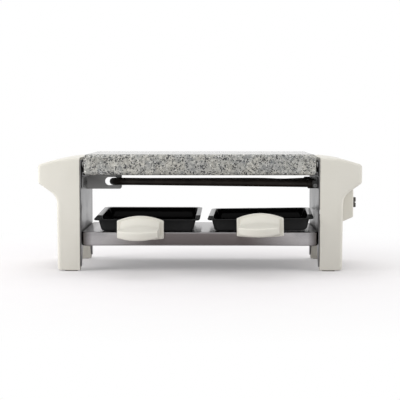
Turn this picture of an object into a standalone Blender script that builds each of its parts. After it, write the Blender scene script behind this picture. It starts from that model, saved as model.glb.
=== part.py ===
"""A two-pan raclette grill with a granite slab on top, modelled piece by piece.

Lengths are in metres. +X runs to the right along the slab, +Y runs away from the user, +Z is up.
Every piece is placed under the empty "chassis", whose own zero is midway between the two end
casings and midway along their depth. The chassis is moved last, so that the grill stands on
Z = 0 with the middle of its footprint at the origin.
"""

import math

import bmesh
import bpy
from mathutils import Matrix, Vector
from mathutils.geometry import interpolate_bezier

# Clearances and cuts
FIT_GAP = 0.0003  # between pieces that seat on each other
HOLE_PLAY = 0.0003  # between a hole and what passes through it
CUT_OVERRUN = 0.002  # how far a cutter reaches past the wall it cuts
JOIN_OVERLAP = 0.0005  # how deep a joined form enters its wall
WELD_DISTANCE = 0.00001
SMOOTH_ANGLE = math.radians(35)
FLAT_ANGLE = math.radians(0.5)
BEVEL_ANGLE = math.radians(50)
EIGHTH_TURN = math.radians(45)
NEARLY_ROUND_SHARE = 0.98  # of half a slot's height, so that its straight ends never vanish

# Overall frame of the grill
BAY_WIDTH = 0.2048  # between the inner faces of the two steel side plates
CASING_DEPTH = 0.100
CASING_TOP = 0.0978
CASING_BOTTOM = 0.0013
SIDE_PLATE_THICKNESS = 0.0008

# End casings, drawn outwards from their open inner side
LEG_WIDTH = 0.0195
LEG_DRAFT = 0.0005  # the leg is this much wider under the grip than at the foot
LEG_TOE_RADIUS = 0.005
GRIP_ROOT_RADIUS = 0.012
GRIP_REACH = 0.0364
GRIP_UNDERSIDE_RISE = 0.0113  # from the leg to the grip's tip
GRIP_TIP_HEIGHT = 0.0157
GRIP_EDGE_RADIUS = 0.0028
CROWN_DROP = 0.0062  # from the casing's top to the grip's tip
CROWN_RADIUS = 0.098
CROWN_START = 0.0176
CASING_WALL = 0.0024
CASING_EDGE_ROUND = 0.0027
CASING_EDGE_STEPS = 2
FOOT_DEPTH = 0.009
ARCH_HEIGHT = 0.027
ARCH_SPRING_DEPTH = 0.023
ARCH_ROUND = 0.008

# What the casings' screws bite into: a bar under each top wall and a post in each leg
BAR_HEIGHT = 0.0066
BAR_WIDTH = 0.0120
BAR_UNDER_CROWN = 0.0009  # below the top wall, which curves down over the bar
BAR_SCREW_FROM_END = 0.012
POST_DIAMETER = 0.0066

# Side plates
PLATE_EDGE_INSET = 0.0015
PLATE_TOP_INSET = 0.0022
PLATE_TOP_ROUND = 0.004
PLATE_FOOT_HEIGHT = 0.0035
PLATE_FOOT_DEPTH = 0.0045
PLATE_TOE_ROUND = 0.0015

# Rubber feet
PAD_LENGTH = 0.0107
PAD_DEPTH = 0.0066
PAD_FROM_PLATE = 0.0023
PAD_FROM_END = 0.0012
PAD_EDGE_ROUND = 0.0004

# Granite slab and the rails that carry it
SLAB_END_GAP = 0.0024  # between each end of the slab and its side plate
SLAB_DEPTH = 0.103
SLAB_THICKNESS = 0.0180
SLAB_SEAT_DROP = 0.0150  # from the casing's top to the slab's underside
SLAB_EDGE_ROUND = 0.0032
SLAB_EDGE_STEPS = 3
RAIL_END_INSET = 0.0085  # from the slab's front and back
RAIL_THICKNESS = 0.0008
RAIL_SEAT_REACH = 0.0066
RAIL_LIP_REACH = 0.0017
RAIL_LIP_RISE = 0.0025  # above the slab's underside
RAIL_LIP_THICKNESS = 0.0011

# Tray that the pans stand on
TRAY_TOP = 0.0339
TRAY_SKIRT_HEIGHT = 0.0119
TRAY_THICKNESS = 0.0008
TRAY_CORNER_RADIUS = 0.0045
TRAY_CORNER_STEPS = 4
TRAY_TOP_ROUND = 0.0012
TRAY_SCREW_FROM_END = 0.0115
TRAY_SCREW_BELOW_TOP = 0.0059

# Tubular heating element
TUBE_DIAMETER = 0.0065
TUBE_RUN_SPACING = 0.042
TUBE_BEND_END = 0.0818  # left end of the U, measured from the middle of the bay
TUBE_UNDER_SLAB = 0.00335  # between the slab and the front run, where it leaves the bend
TUBE_BACK_DROP = 0.0024  # the back run leaves the bend this much lower than the front run
TUBE_END_DROP = 0.0020  # both terminal ends lie this much lower than the front run
TUBE_BEND_STEPS = 12
COLLAR_DIAMETER = 0.0084
COLLAR_LENGTH = 0.0060
PIN_DIAMETER = 0.0022
PIN_LENGTH = 0.0085
SHEATH_PAST_PLATE = 0.0016  # the element's sheath ends this far outside the side plate

# Element bracket at the left end
BRACKET_THICKNESS = 0.0009
BRACKET_REACH = 0.0319
BRACKET_UNDER_SLAB = 0.0017
BRACKET_HEIGHT = 0.0123
BRACKET_CHAMFER = 0.0014
BRACKET_SETBACK = 0.008  # in front of the middle of the casings
BRACKET_FLANGE_LENGTH = 0.034
BRACKET_FLANGE_RISE = 0.0022  # the flange's lower edge rises by this much towards its front
BRACKET_SLOT_LEFT = 0.0851
BRACKET_SLOT_WIDTH = 0.0122
BRACKET_SLOT_HEIGHT = 0.0072
BRACKET_RIVET_SETBACK = 0.012

# Terminal bracket at the right end
TERMINAL_PLATE_FRONT = 0.044  # in front of the middle of the casings
TERMINAL_PLATE_BACK = 0.034
TERMINAL_PLATE_ABOVE_TUBE = 0.0066  # its top edge, from the middle of the element's ends
TERMINAL_PLATE_HEIGHT = 0.0128
TERMINAL_PLATE_ROUND = 0.003
TERMINAL_TAB_WIDTH = 0.0048
TERMINAL_TAB_LENGTH = 0.0067
TERMINAL_TAB_RISE = 0.0033  # its round end, from the plate's bottom edge
TERMINAL_RIVET_OFFSET = 0.036

# Pans, measured from the front lower edge of the pan's bottom
PAN_SIDE_ROOM = 0.0109  # how much narrower a pan is than its half of the bay
PAN_RIM_DEPTH = 0.0964
PAN_RIM_FLANGE = 0.0044
PAN_RIM_CORNER = 0.0065
PAN_WALL_RUN = 0.0017  # how far a pan's wall leans in from the flange to the bottom
PAN_BOTTOM_CORNER = 0.0052
PAN_HEIGHT = 0.0110
PAN_BOTTOM_ROUND = 0.0026
PAN_THICKNESS = 0.0008
PAN_CORNER_STEPS = 5
PAN_RIM_FRONT = 0.055  # in front of the middle of the casings

# Pan handles, measured from the rim's front edge and top
HANDLE_STANDOFF = 0.0062
GUARD_WIDTH = 0.0398
GUARD_THICKNESS = 0.0026
GUARD_END_TOP = 0.0014
GUARD_CROWN_TOP = 0.0056
GUARD_END_BOTTOM = 0.0138
GUARD_CROWN_BOTTOM = 0.0150
GUARD_ARCH_STEPS = 8
GRIP_BODY_WIDTH = 0.0332
GRIP_BODY_LENGTH = 0.0330
GRIP_BODY_BOW = 0.0036  # the nose bulges forward by this much at its middle
GRIP_TOP_BACK = 0.0046
GRIP_TOP_SCOOP = 0.0022
GRIP_SCOOP_LENGTH = 0.0105
GRIP_TOP_FRONT = 0.0043
GRIP_UNDERSIDE_BACK = 0.0144
GRIP_UNDERSIDE_FRONT = 0.0116
GRIP_TOP_CROWN = 0.0034  # how far its top falls away to the sides beside the guard
GRIP_LIP_RISE = 0.0006  # how far the front lip rises towards the sides
GRIP_UNDERSIDE_CROWN = 0.0022  # how far the underside rises towards the sides
GRIP_NOSE_ROUND = 0.0016
GRIP_SECTIONS = 10
SCOOP_STEPS = 5
TANG_WIDTH = 0.0120
TANG_THICKNESS = 0.0010
TANG_LENGTH = 0.0300
TANG_PLAY = 0.0004
TANG_CRANK = 0.0042  # the tang steps down by this much between the rim and the handle
TANG_CRANK_BACK_SHARE = 0.25  # of the standoff, where the step starts
TANG_CRANK_FRONT_SHARE = 0.75
HANDLE_SCREW_FROM_GUARD = 0.0135
HANDLE_SCREW_HEAD_DIAMETER = 0.0052
HANDLE_SCREW_HEAD_HEIGHT = 0.0018
HANDLE_SCREW_RECESS = 0.0055

# Small screws and rivets
SCREW_SHANK_DIAMETER = 0.0026
SCREW_HEAD_DIAMETER = 0.0050
SCREW_HEAD_HEIGHT = 0.0013
SCREW_LENGTH = 0.0095
SCREW_RECESS_ACROSS = 0.0024
SCREW_RECESS_SLOT = 0.0006
SCREW_RECESS_DEPTH = 0.0007
RIVET_SHANK_DIAMETER = 0.0024
RIVET_HEAD_DIAMETER = 0.0040
RIVET_HEAD_HEIGHT = 0.0009
ROUND_STEPS = 14
ARC_STEP = math.radians(16)

# Switch housing on the outside of the right casing
HOUSING_DEPTH = 0.040
HOUSING_REACH = 0.0126
HOUSING_BELOW_SWITCH = 0.0121  # at its outer face
HOUSING_BOTTOM_SLANT = 0.0058  # its bottom falls by this much towards the leg
HOUSING_ABOVE_SWITCH = 0.0210
HOUSING_WALL = 0.0018
HOUSING_ROUND = 0.0018
HOUSING_WINDOW_DEPTH = 0.024
HOUSING_WINDOW_HEIGHT = 0.0125

# Rocker switch
SWITCH_BELOW_GRIP = 0.0079  # from the grip's root to the switch's middle
SWITCH_BEZEL_LENGTH = 0.0170
SWITCH_BEZEL_WIDTH = 0.0128
SWITCH_BEZEL_THICKNESS = 0.0008
SWITCH_BODY_LENGTH = 0.0150
SWITCH_BODY_WIDTH = 0.0110
SWITCH_BODY_DEPTH = 0.0098
SWITCH_WELL_LENGTH = 0.0134
SWITCH_WELL_WIDTH = 0.0098
SWITCH_WELL_DEPTH = 0.0062
SWITCH_TAB_WIDTH = 0.0032
SWITCH_TAB_THICKNESS = 0.0007
SWITCH_TAB_LENGTH = 0.0055
SWITCH_TAB_SPACING = 0.0070
ROCKER_LENGTH = 0.0122
ROCKER_WIDTH = 0.0090
ROCKER_PROUD = 0.0024  # its ends stand this far out of the bezel
ROCKER_DISH = 0.0007  # its middle lies this much lower than its ends
ROCKER_PIVOT_DEPTH = 0.0022
ROCKER_KEEL = 0.0030
ROCKER_KEEL_SHARE = 0.33  # of the rocker's half length
ROCKER_END_SHARE = 0.92  # of the rocker's half length, where its rounded end starts
ROCKER_TILT = math.radians(6)

# Mains inlet, thermal cutout and wiring inside the right casing
GLAND_HEIGHT = 0.0440
GLAND_FROM_PLATE = 0.0102
GLAND_FLANGE_DIAMETER = 0.0112
GLAND_FLANGE_THICKNESS = 0.0014
GLAND_SHANK_DIAMETER = 0.0082
GLAND_LENGTH = 0.0085
GLAND_BORE = 0.0056
CUTOUT_LENGTH = 0.0140
CUTOUT_DIAMETER = 0.0058
CUTOUT_BELOW_TOP = 0.0137
BLOCK_LENGTH = 0.0190
BLOCK_WIDTH = 0.0100
BLOCK_HEIGHT = 0.0110
BLOCK_BASE = 0.0300
BLOCK_FROM_PLATE = 0.0032
BLOCK_HOLE = 0.0042
BLOCK_HOLE_DEPTH = 0.0040
BLOCK_POLES = 3
LEAD_DIAMETER = 0.0020
LEAD_STEPS = 9
LEAD_BEND = 0.0070  # how far a lead runs on from each terminal before it turns

# How the two pans lie on the tray in use: distance to the right of the middle of the pan's half of
# the bay, forward tip, roll and yaw, then where the handle sits on its pan: distance to the left of
# the rim's middle, distance down, droop and sideways swing
LEFT_PAN = {
    "shift": 0.0056,
    "tip": math.radians(2.4),
    "roll": 0.0,
    "yaw": math.radians(-1.0),
    "handle_left": 0.0044,
    "handle_down": 0.0014,
    "droop": math.radians(-0.6),
    "swing": math.radians(2.0),
}
RIGHT_PAN = {
    "shift": 0.0013,
    "tip": math.radians(1.5),
    "roll": math.radians(-0.9),
    "yaw": math.radians(-2.3),
    "handle_left": 0.0,
    "handle_down": 0.0,
    "droop": math.radians(-1.3),
    "swing": math.radians(-2.2),
}

HALF_BAY = BAY_WIDTH / 2
HALF_DEPTH = CASING_DEPTH / 2
PLATE_OUTER = HALF_BAY + SIDE_PLATE_THICKNESS
CASING_INNER = PLATE_OUTER + FIT_GAP
LEG_OUTER = CASING_INNER + LEG_WIDTH
SCREW_HOLE = SCREW_SHANK_DIAMETER + 2 * HOLE_PLAY
RIVET_HOLE = RIVET_SHANK_DIAMETER + 2 * HOLE_PLAY
TUBE_HOLE = TUBE_DIAMETER + 2 * HOLE_PLAY

# Heights that hang from the casing's top
GRIP_SHOULDER_HEIGHT = CASING_TOP - CROWN_DROP
GRIP_UNDERSIDE_HEIGHT = GRIP_SHOULDER_HEIGHT - GRIP_TIP_HEIGHT
GRIP_ROOT_HEIGHT = GRIP_UNDERSIDE_HEIGHT - GRIP_UNDERSIDE_RISE
SLAB_UNDERSIDE = CASING_TOP - SLAB_SEAT_DROP
CUTOUT_HEIGHT = CASING_TOP - CUTOUT_BELOW_TOP
SWITCH_HEIGHT = GRIP_ROOT_HEIGHT - SWITCH_BELOW_GRIP
HOUSING_BOTTOM_OUTER = SWITCH_HEIGHT - HOUSING_BELOW_SWITCH
HOUSING_BOTTOM_INNER = HOUSING_BOTTOM_OUTER - HOUSING_BOTTOM_SLANT
HOUSING_TOP = SWITCH_HEIGHT + HOUSING_ABOVE_SWITCH

# Slab and pans, which fill the bay
SLAB_LENGTH = BAY_WIDTH - 2 * SLAB_END_GAP
PAN_RIM_WIDTH = HALF_BAY - PAN_SIDE_ROOM
PAN_EDGE = PAN_RIM_FLANGE + PAN_WALL_RUN
PAN_BOTTOM_WIDTH = PAN_RIM_WIDTH - 2 * PAN_EDGE

# Places shared by the element, its brackets and the side plates
TUBE_FRONT_HEIGHT = SLAB_UNDERSIDE - TUBE_UNDER_SLAB - TUBE_DIAMETER / 2
TERMINAL_HEIGHT = TUBE_FRONT_HEIGHT - TUBE_END_DROP
SHEATH_END = PLATE_OUTER + SHEATH_PAST_PLATE
RUN_OFFSET = TUBE_RUN_SPACING / 2
BRACKET_TOP = SLAB_UNDERSIDE - BRACKET_UNDER_SLAB
BRACKET_BOTTOM = BRACKET_TOP - BRACKET_HEIGHT
BRACKET_RIVET_Z = BRACKET_TOP - BRACKET_HEIGHT / 2
BRACKET_RIVET_YS = {
    "back": -BRACKET_SETBACK - BRACKET_RIVET_SETBACK,
    "front": -BRACKET_SETBACK - BRACKET_FLANGE_LENGTH + BRACKET_RIVET_SETBACK / 2,
}
TERMINAL_PLATE_TOP = TERMINAL_HEIGHT + TERMINAL_PLATE_ABOVE_TUBE
TERMINAL_PLATE_BOTTOM = TERMINAL_PLATE_TOP - TERMINAL_PLATE_HEIGHT
TERMINAL_TAB_BOTTOM = TERMINAL_PLATE_BOTTOM + TERMINAL_TAB_RISE
TERMINAL_TAB_TOP = TERMINAL_TAB_BOTTOM + TERMINAL_TAB_LENGTH
TERMINAL_RIVET_Z = TERMINAL_PLATE_TOP - TERMINAL_PLATE_HEIGHT / 2
TERMINAL_RIVET_YS = {"front": -TERMINAL_RIVET_OFFSET, "back": 0}
TAB_RIVET_Z = TERMINAL_TAB_BOTTOM + TERMINAL_TAB_WIDTH / 2

# Places shared by the switch, its housing and the leads
HOUSING_OUTER = LEG_OUTER + HOUSING_REACH
SWITCH_FACE = HOUSING_OUTER + FIT_GAP + SWITCH_BEZEL_THICKNESS
SWITCH_TAB_BACK = SWITCH_FACE - SWITCH_BODY_DEPTH - FIT_GAP
SWITCH_TAB_TIP = SWITCH_TAB_BACK - SWITCH_TAB_LENGTH

# Surface colours as linear RGB, roughness, metallic
FINISHES = {
    "cream_plastic": ((0.67, 0.64, 0.57), 0.42, 0.0),
    "granite": ((0.44, 0.44, 0.42), 0.35, 0.0),
    "brushed_steel": ((0.55, 0.54, 0.53), 0.28, 1.0),
    "black_tube": ((0.012, 0.009, 0.008), 0.45, 0.3),
    "dark_sheet": ((0.10, 0.10, 0.10), 0.45, 0.6),
    "pan_coating": ((0.012, 0.012, 0.013), 0.30, 0.0),
    "zinc_steel": ((0.50, 0.50, 0.50), 0.35, 1.0),
    "black_rubber": ((0.02, 0.02, 0.02), 0.75, 0.0),
    "switch_black": ((0.045, 0.042, 0.036), 0.40, 0.0),
    "ceramic_white": ((0.75, 0.73, 0.68), 0.50, 0.0),
    "brown_lead": ((0.10, 0.05, 0.03), 0.45, 0.0),
    "blue_lead": ((0.03, 0.09, 0.35), 0.45, 0.0),
    "earth_lead": ((0.35, 0.42, 0.06), 0.45, 0.0),
}


def clear_scene():
    for obj in list(bpy.data.objects):
        bpy.data.objects.remove(obj)


def new_collection(name, hidden=False):
    collection = bpy.data.collections.new(name)
    bpy.context.scene.collection.children.link(collection)
    collection.hide_render = hidden
    return collection


def make_materials():
    made = {}
    for name, (colour, roughness, metallic) in FINISHES.items():
        material = bpy.data.materials.new(name)
        material.use_nodes = True
        shader = material.node_tree.nodes["Principled BSDF"]
        shader.inputs["Base Color"].default_value = (*colour, 1.0)
        shader.inputs["Roughness"].default_value = roughness
        shader.inputs["Metallic"].default_value = metallic
        material.diffuse_color = (*colour, 1.0)
        made[name] = material
    return made


clear_scene()
PARTS = new_collection("raclette_grill")
CUTTERS = new_collection("cutters", hidden=True)
MATERIALS = make_materials()


def empty(name, parent=None, location=(0, 0, 0), rotation=(0, 0, 0)):
    """A frame to place pieces in. Rotation is XYZ Euler."""
    frame = bpy.data.objects.new(name, None)
    frame.parent = parent
    frame.location = location
    frame.rotation_euler = rotation
    PARTS.objects.link(frame)
    return frame


def add_piece(name, mesh, finish, parent, smooth=True):
    """One named sub-part, its mesh drawn in the parent's own coordinates."""
    mesh.name = name
    mesh.materials.clear()
    mesh.materials.append(MATERIALS[finish])
    piece = bpy.data.objects.new(name, mesh)
    piece.parent = parent
    PARTS.objects.link(piece)
    if smooth:
        mesh.shade_smooth()
        mesh.set_sharp_from_angle(angle=SMOOTH_ANGLE)
    return piece


def mesh_from(build):
    """The mesh that a bmesh function fills in."""
    mesh = bpy.data.meshes.new("shape")
    work = bmesh.new()
    build(work)
    bmesh.ops.recalc_face_normals(work, faces=work.faces)
    work.to_mesh(mesh)
    work.free()
    return mesh


def box_mesh(low, high):
    """A box between two corners."""
    low, high = Vector(low), Vector(high)
    place = Matrix.Translation((low + high) / 2) @ Matrix.Diagonal((*(high - low), 1))
    return mesh_from(lambda work: bmesh.ops.create_cube(work, size=1, matrix=place))


def axis_matrix(axis):
    """Turns +Z onto the axis named."""
    turns = {
        "X": Matrix.Rotation(math.radians(90), 4, "Y"),
        "-X": Matrix.Rotation(math.radians(-90), 4, "Y"),
        "Y": Matrix.Rotation(math.radians(-90), 4, "X"),
        "-Y": Matrix.Rotation(math.radians(90), 4, "X"),
        "Z": Matrix.Identity(4),
        "-Z": Matrix.Rotation(math.radians(180), 4, "X"),
    }
    return turns[axis]


def rod_mesh(start, axis, diameter, length, steps=ROUND_STEPS):
    """A cylinder from a start point along an axis."""
    turn = axis_matrix(axis)
    place = Matrix.Translation(start) @ turn @ Matrix.Translation((0, 0, length / 2))

    def build(work):
        bmesh.ops.create_cone(
            work, cap_ends=True, segments=steps, radius1=diameter / 2, radius2=diameter / 2,
            depth=length, matrix=place,
        )

    return mesh_from(build)


def turned_mesh(start, axis, profile, steps=ROUND_STEPS):
    """A turned shape: profile is (radius, distance along the axis) from one end to the other."""
    turn = Matrix.Translation(start) @ axis_matrix(axis)
    lathe = bpy.data.meshes.new("profile")
    along = [(radius, 0, distance) for radius, distance in reversed(profile)]
    lathe.from_pydata(along, [(i, i + 1) for i in range(len(along) - 1)], [])
    blank = bpy.data.objects.new("profile", lathe)
    CUTTERS.objects.link(blank)
    screw = blank.modifiers.new("turn", "SCREW")
    screw.steps = screw.render_steps = steps
    screw.use_merge_vertices = True
    screw.merge_threshold = WELD_DISTANCE
    mesh = evaluated_mesh(blank)
    bpy.data.objects.remove(blank)
    mesh.transform(turn)
    return mesh


def evaluated_mesh(source):
    """A welded mesh of an object as its modifiers or curve settings leave it."""
    bpy.context.view_layer.update()
    graph = bpy.context.evaluated_depsgraph_get()
    mesh = bpy.data.meshes.new_from_object(source.evaluated_get(graph))
    work = bmesh.new()
    work.from_mesh(mesh)
    bmesh.ops.remove_doubles(work, verts=work.verts, dist=WELD_DISTANCE)
    bmesh.ops.recalc_face_normals(work, faces=work.faces)
    work.to_mesh(mesh)
    work.free()
    return mesh


def join_flat_faces(mesh):
    """Makes each flat side of a mesh one face, so that its edges can be rounded."""
    work = bmesh.new()
    work.from_mesh(mesh)
    bmesh.ops.dissolve_limit(
        work, angle_limit=FLAT_ANGLE, verts=work.verts, edges=work.edges
    )
    work.to_mesh(mesh)
    work.free()


def slab_mesh(outline, thickness, plane, middle):
    """A flat outline given thickness. plane names what the outline's two numbers are, and middle is
    where the slab's middle lies along the third direction."""
    curve = bpy.data.curves.new("outline", "CURVE")
    curve.dimensions = "2D"
    curve.fill_mode = "BOTH"
    curve.extrude = thickness / 2
    spline = curve.splines.new("POLY")
    spline.points.add(len(outline) - 1)
    for point, (across, up) in zip(spline.points, outline):
        point.co = (across, up, 0, 1)
    spline.use_cyclic_u = True
    drawn = bpy.data.objects.new("outline", curve)
    CUTTERS.objects.link(drawn)
    turns = {
        "XY": Matrix.Identity(3),
        "XZ": Matrix(((1, 0, 0), (0, 0, -1), (0, 1, 0))),
        "YZ": Matrix(((0, 0, 1), (1, 0, 0), (0, 1, 0))),
    }
    shifts = {"XY": (0, 0, middle), "XZ": (0, middle, 0), "YZ": (middle, 0, 0)}
    mesh = evaluated_mesh(drawn)
    join_flat_faces(mesh)
    mesh.transform(Matrix.Translation(shifts[plane]) @ turns[plane].to_4x4())
    bpy.data.objects.remove(drawn)
    return mesh


def tube_mesh(points, diameter, resolution=2):
    """A round wire or tube along a list of points."""
    curve = bpy.data.curves.new("route", "CURVE")
    curve.dimensions = "3D"
    curve.bevel_depth = diameter / 2
    curve.bevel_resolution = resolution
    curve.use_fill_caps = True
    spline = curve.splines.new("POLY")
    spline.points.add(len(points) - 1)
    for point, place in zip(spline.points, points):
        point.co = (*place, 1)
    drawn = bpy.data.objects.new("route", curve)
    CUTTERS.objects.link(drawn)
    mesh = evaluated_mesh(drawn)
    bpy.data.objects.remove(drawn)
    return mesh


def combine(piece, operation, mesh):
    """Cuts a mesh from a piece, joins it on or keeps what both share."""
    tool = bpy.data.objects.new(f"{piece.name}_{operation.lower()}", mesh)
    tool.parent = piece.parent
    tool.hide_render = True
    tool.display_type = "WIRE"
    CUTTERS.objects.link(tool)
    change = piece.modifiers.new(tool.name, "BOOLEAN")
    change.operation = operation
    change.solver = "EXACT"
    change.object = tool
    return change


def settle(piece):
    """Bakes a piece's modifiers into its mesh and drops its tools."""
    tools = [m.object for m in piece.modifiers if m.type == "BOOLEAN"]
    mesh = evaluated_mesh(piece)
    piece.modifiers.clear()
    piece.data = mesh
    for tool in tools:
        bpy.data.objects.remove(tool)
    mesh.shade_smooth()
    mesh.set_sharp_from_angle(angle=SMOOTH_ANGLE)


def shrink(corners, distance):
    """Moves each side of a counter-clockwise outline of (across, up, radius) corners inwards."""
    count = len(corners)
    moved = []
    for i, (across, up, radius) in enumerate(corners):
        here = Vector((across, up))
        before = (here - Vector(corners[i - 1][:2])).normalized()
        after = (Vector(corners[(i + 1) % count][:2]) - here).normalized()
        inward_before = Vector((-before.y, before.x))
        inward_after = Vector((-after.y, after.x))
        halfway = (inward_before + inward_after).normalized()
        step = distance / halfway.dot(inward_after)
        place = here + halfway * step
        convex = before.cross(after) > 0
        kept = max(radius - distance, 0) if convex else radius + distance
        moved.append((place.x, place.y, kept))
    return moved


def rounded(corners):
    """The outline's points, with an arc at each corner that has a radius."""
    count = len(corners)
    points = []
    for i, (across, up, radius) in enumerate(corners):
        here = Vector((across, up))
        before = (here - Vector(corners[i - 1][:2])).normalized()
        after = (Vector(corners[(i + 1) % count][:2]) - here).normalized()
        turn = math.atan2(before.cross(after), before.dot(after))
        if radius <= 0:
            points.append((across, up))
            continue
        side = math.copysign(1, turn)
        start = here - before * radius * math.tan(abs(turn) / 2)
        centre = start + Vector((-before.y, before.x)) * side * radius
        steps = max(2, math.ceil(abs(turn) / ARC_STEP))
        for k in range(steps + 1):
            spoke = (start - centre).copy()
            spoke.rotate(Matrix.Rotation(turn * k / steps, 2))
            points.append(tuple(centre + spoke))
    return points


def mirrored(outline, side):
    """The outline as it is for the right end (side 1), or flipped for the left end (side -1)."""
    if side > 0:
        return outline
    return [(-across, up) for across, up in reversed(outline)]


def rounded_rectangle(half_x, half_y, radius, steps, middle=(0, 0)):
    """Points round a rectangle with round corners, counter-clockwise from the front left."""
    points = []
    for turn, (sx, sy) in enumerate(((-1, -1), (1, -1), (1, 1), (-1, 1))):
        centre = (middle[0] + sx * (half_x - radius), middle[1] + sy * (half_y - radius))
        for k in range(steps + 1):
            angle = math.radians(180 + 90 * turn + 90 * k / steps)
            points.append(
                (centre[0] + radius * math.cos(angle), centre[1] + radius * math.sin(angle))
            )
    return points


def sheet_mesh(rings):
    """An open surface through rings of points, its last ring filled."""

    def build(work):
        rows = [[work.verts.new(point) for point in ring] for ring in rings]
        for lower, upper in zip(rows, rows[1:]):
            for i in range(len(lower)):
                j = (i + 1) % len(lower)
                work.faces.new((lower[i], lower[j], upper[j], upper[i]))
        work.faces.new(rows[-1])

    return mesh_from(build)


def loft_mesh(rings):
    """A closed body through unlike sections, with its end sections filled."""

    def build(work):
        rows = [[work.verts.new(point) for point in ring] for ring in rings]
        for lower, upper in zip(rows, rows[1:]):
            for i in range(len(lower)):
                j = (i + 1) % len(lower)
                work.faces.new((lower[i], lower[j], upper[j], upper[i]))
        work.faces.new(rows[0])
        work.faces.new(rows[-1])

    return mesh_from(build)


def thicken(piece, thickness, inwards):
    """Gives a pressed sheet its thickness on one side of the surface drawn."""
    shell = piece.modifiers.new("thickness", "SOLIDIFY")
    shell.thickness = thickness
    shell.offset = -1 if inwards else 1
    shell.use_even_offset = True
    shell.use_rim = True


def soften(piece, width, steps):
    """Rounds a piece's sharp edges."""
    edge = piece.modifiers.new("edges", "BEVEL")
    edge.width = width
    edge.segments = steps
    edge.limit_method = "ANGLE"
    edge.angle_limit = BEVEL_ANGLE
    edge.use_clamp_overlap = False


def casing_front_corners():
    """The right casing seen from the front, from the inside outwards."""
    return [
        (CASING_INNER, CASING_BOTTOM, 0),
        (LEG_OUTER, CASING_BOTTOM, LEG_TOE_RADIUS),
        (LEG_OUTER + LEG_DRAFT, GRIP_ROOT_HEIGHT, GRIP_ROOT_RADIUS),
        (CASING_INNER + GRIP_REACH, GRIP_UNDERSIDE_HEIGHT, GRIP_EDGE_RADIUS),
        (CASING_INNER + GRIP_REACH, GRIP_SHOULDER_HEIGHT, GRIP_EDGE_RADIUS),
        (CASING_INNER + CROWN_START, CASING_TOP, crown_radius()),
        (CASING_INNER, CASING_TOP, 0),
    ]


def crown_radius():
    """The crown's radius, where the flat beside the slab and the slope to the tip leave it room."""
    run = GRIP_REACH - CROWN_START
    room = min(CROWN_START, math.hypot(run, CROWN_DROP) - GRIP_EDGE_RADIUS)
    half_turn = math.atan2(CROWN_DROP, run) / 2
    return min(CROWN_RADIUS, room / math.tan(half_turn))


def arch_corners():
    """The opening between a casing's front and back legs, seen from the side and run out below."""
    foot = HALF_DEPTH - FOOT_DEPTH
    spring = HALF_DEPTH - ARCH_SPRING_DEPTH
    below = CASING_BOTTOM - CUT_OVERRUN
    return [
        (-foot, below, 0),
        (foot, below, 0),
        (foot, CASING_BOTTOM, 0),
        (spring, ARCH_HEIGHT, ARCH_ROUND),
        (-spring, ARCH_HEIGHT, ARCH_ROUND),
        (-foot, CASING_BOTTOM, 0),
    ]


def arch_mesh(side, grow):
    """The arch opening as a bar along X that reaches past both faces of a leg."""
    reach = LEG_WIDTH + LEG_DRAFT + 2 * CUT_OVERRUN
    middle = side * (CASING_INNER + LEG_WIDTH / 2)
    return slab_mesh(rounded(shrink(arch_corners(), -grow)), reach, "YZ", middle)


def casing_outer(name, side, parent):
    """The solid outer form of one end casing. Its edges are rounded, apart from those of its open
    inner side, so it is drawn deeper there first and then cut flush."""
    corners = casing_front_corners()
    spare = CASING_INNER - 2 * CASING_EDGE_ROUND
    corners[0] = (spare, corners[0][1], 0)
    corners[-1] = (spare, corners[-1][1], 0)
    front = mirrored(rounded(corners), side)
    casing = add_piece(
        name, slab_mesh(front, CASING_DEPTH, "XZ", 0), "cream_plastic", parent
    )
    soften(casing, CASING_EDGE_ROUND, CASING_EDGE_STEPS)
    settle(casing)
    near, far = sorted((side * CASING_INNER, side * (spare - CUT_OVERRUN)))
    half_depth = HALF_DEPTH + CUT_OVERRUN
    inner_cut = box_mesh(
        (near, -half_depth, CASING_BOTTOM - CUT_OVERRUN), (far, half_depth, CASING_TOP + CUT_OVERRUN)
    )
    combine(casing, "DIFFERENCE", inner_cut)
    settle(casing)
    combine(casing, "DIFFERENCE", arch_mesh(side, 0))
    settle(casing)
    return casing


def hollow_mesh(side):
    """The space inside one casing, which is open on its inner side."""
    corners = shrink(casing_front_corners(), CASING_WALL)
    open_side = CASING_INNER - CUT_OVERRUN
    inner_low, inner_high = corners[0], corners[-1]
    corners[0] = (open_side, inner_low[1], 0)
    corners[-1] = (open_side, inner_high[1], 0)
    front = mirrored(rounded(corners), side)
    space = slab_mesh(front, CASING_DEPTH - 2 * CASING_WALL, "XZ", 0)
    blank = bpy.data.objects.new("hollow", space)
    CUTTERS.objects.link(blank)
    combine(blank, "DIFFERENCE", arch_mesh(side, CASING_WALL))
    tools = [m.object for m in blank.modifiers]
    mesh = evaluated_mesh(blank)
    for obj in (blank, *tools):
        bpy.data.objects.remove(obj)
    return mesh


def screw_rows():
    """Where screws hold a casing: (distance from the middle of its depth, height)."""
    upper = HALF_DEPTH - BAR_SCREW_FROM_END
    lower = HALF_DEPTH - TRAY_SCREW_FROM_END
    in_bar = CASING_TOP - CASING_WALL - BAR_UNDER_CROWN - BAR_HEIGHT / 2
    in_skirt = TRAY_TOP - TRAY_SCREW_BELOW_TOP
    return {
        "upper": [(-upper, in_bar), (upper, in_bar)],
        "lower": [(-lower, in_skirt), (lower, in_skirt)],
    }


def outward(side):
    return "X" if side > 0 else "-X"


def make_casing(name, side, parent):
    casing = casing_outer(name, side, parent)
    combine(casing, "DIFFERENCE", hollow_mesh(side))
    settle(casing)
    return casing


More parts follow.
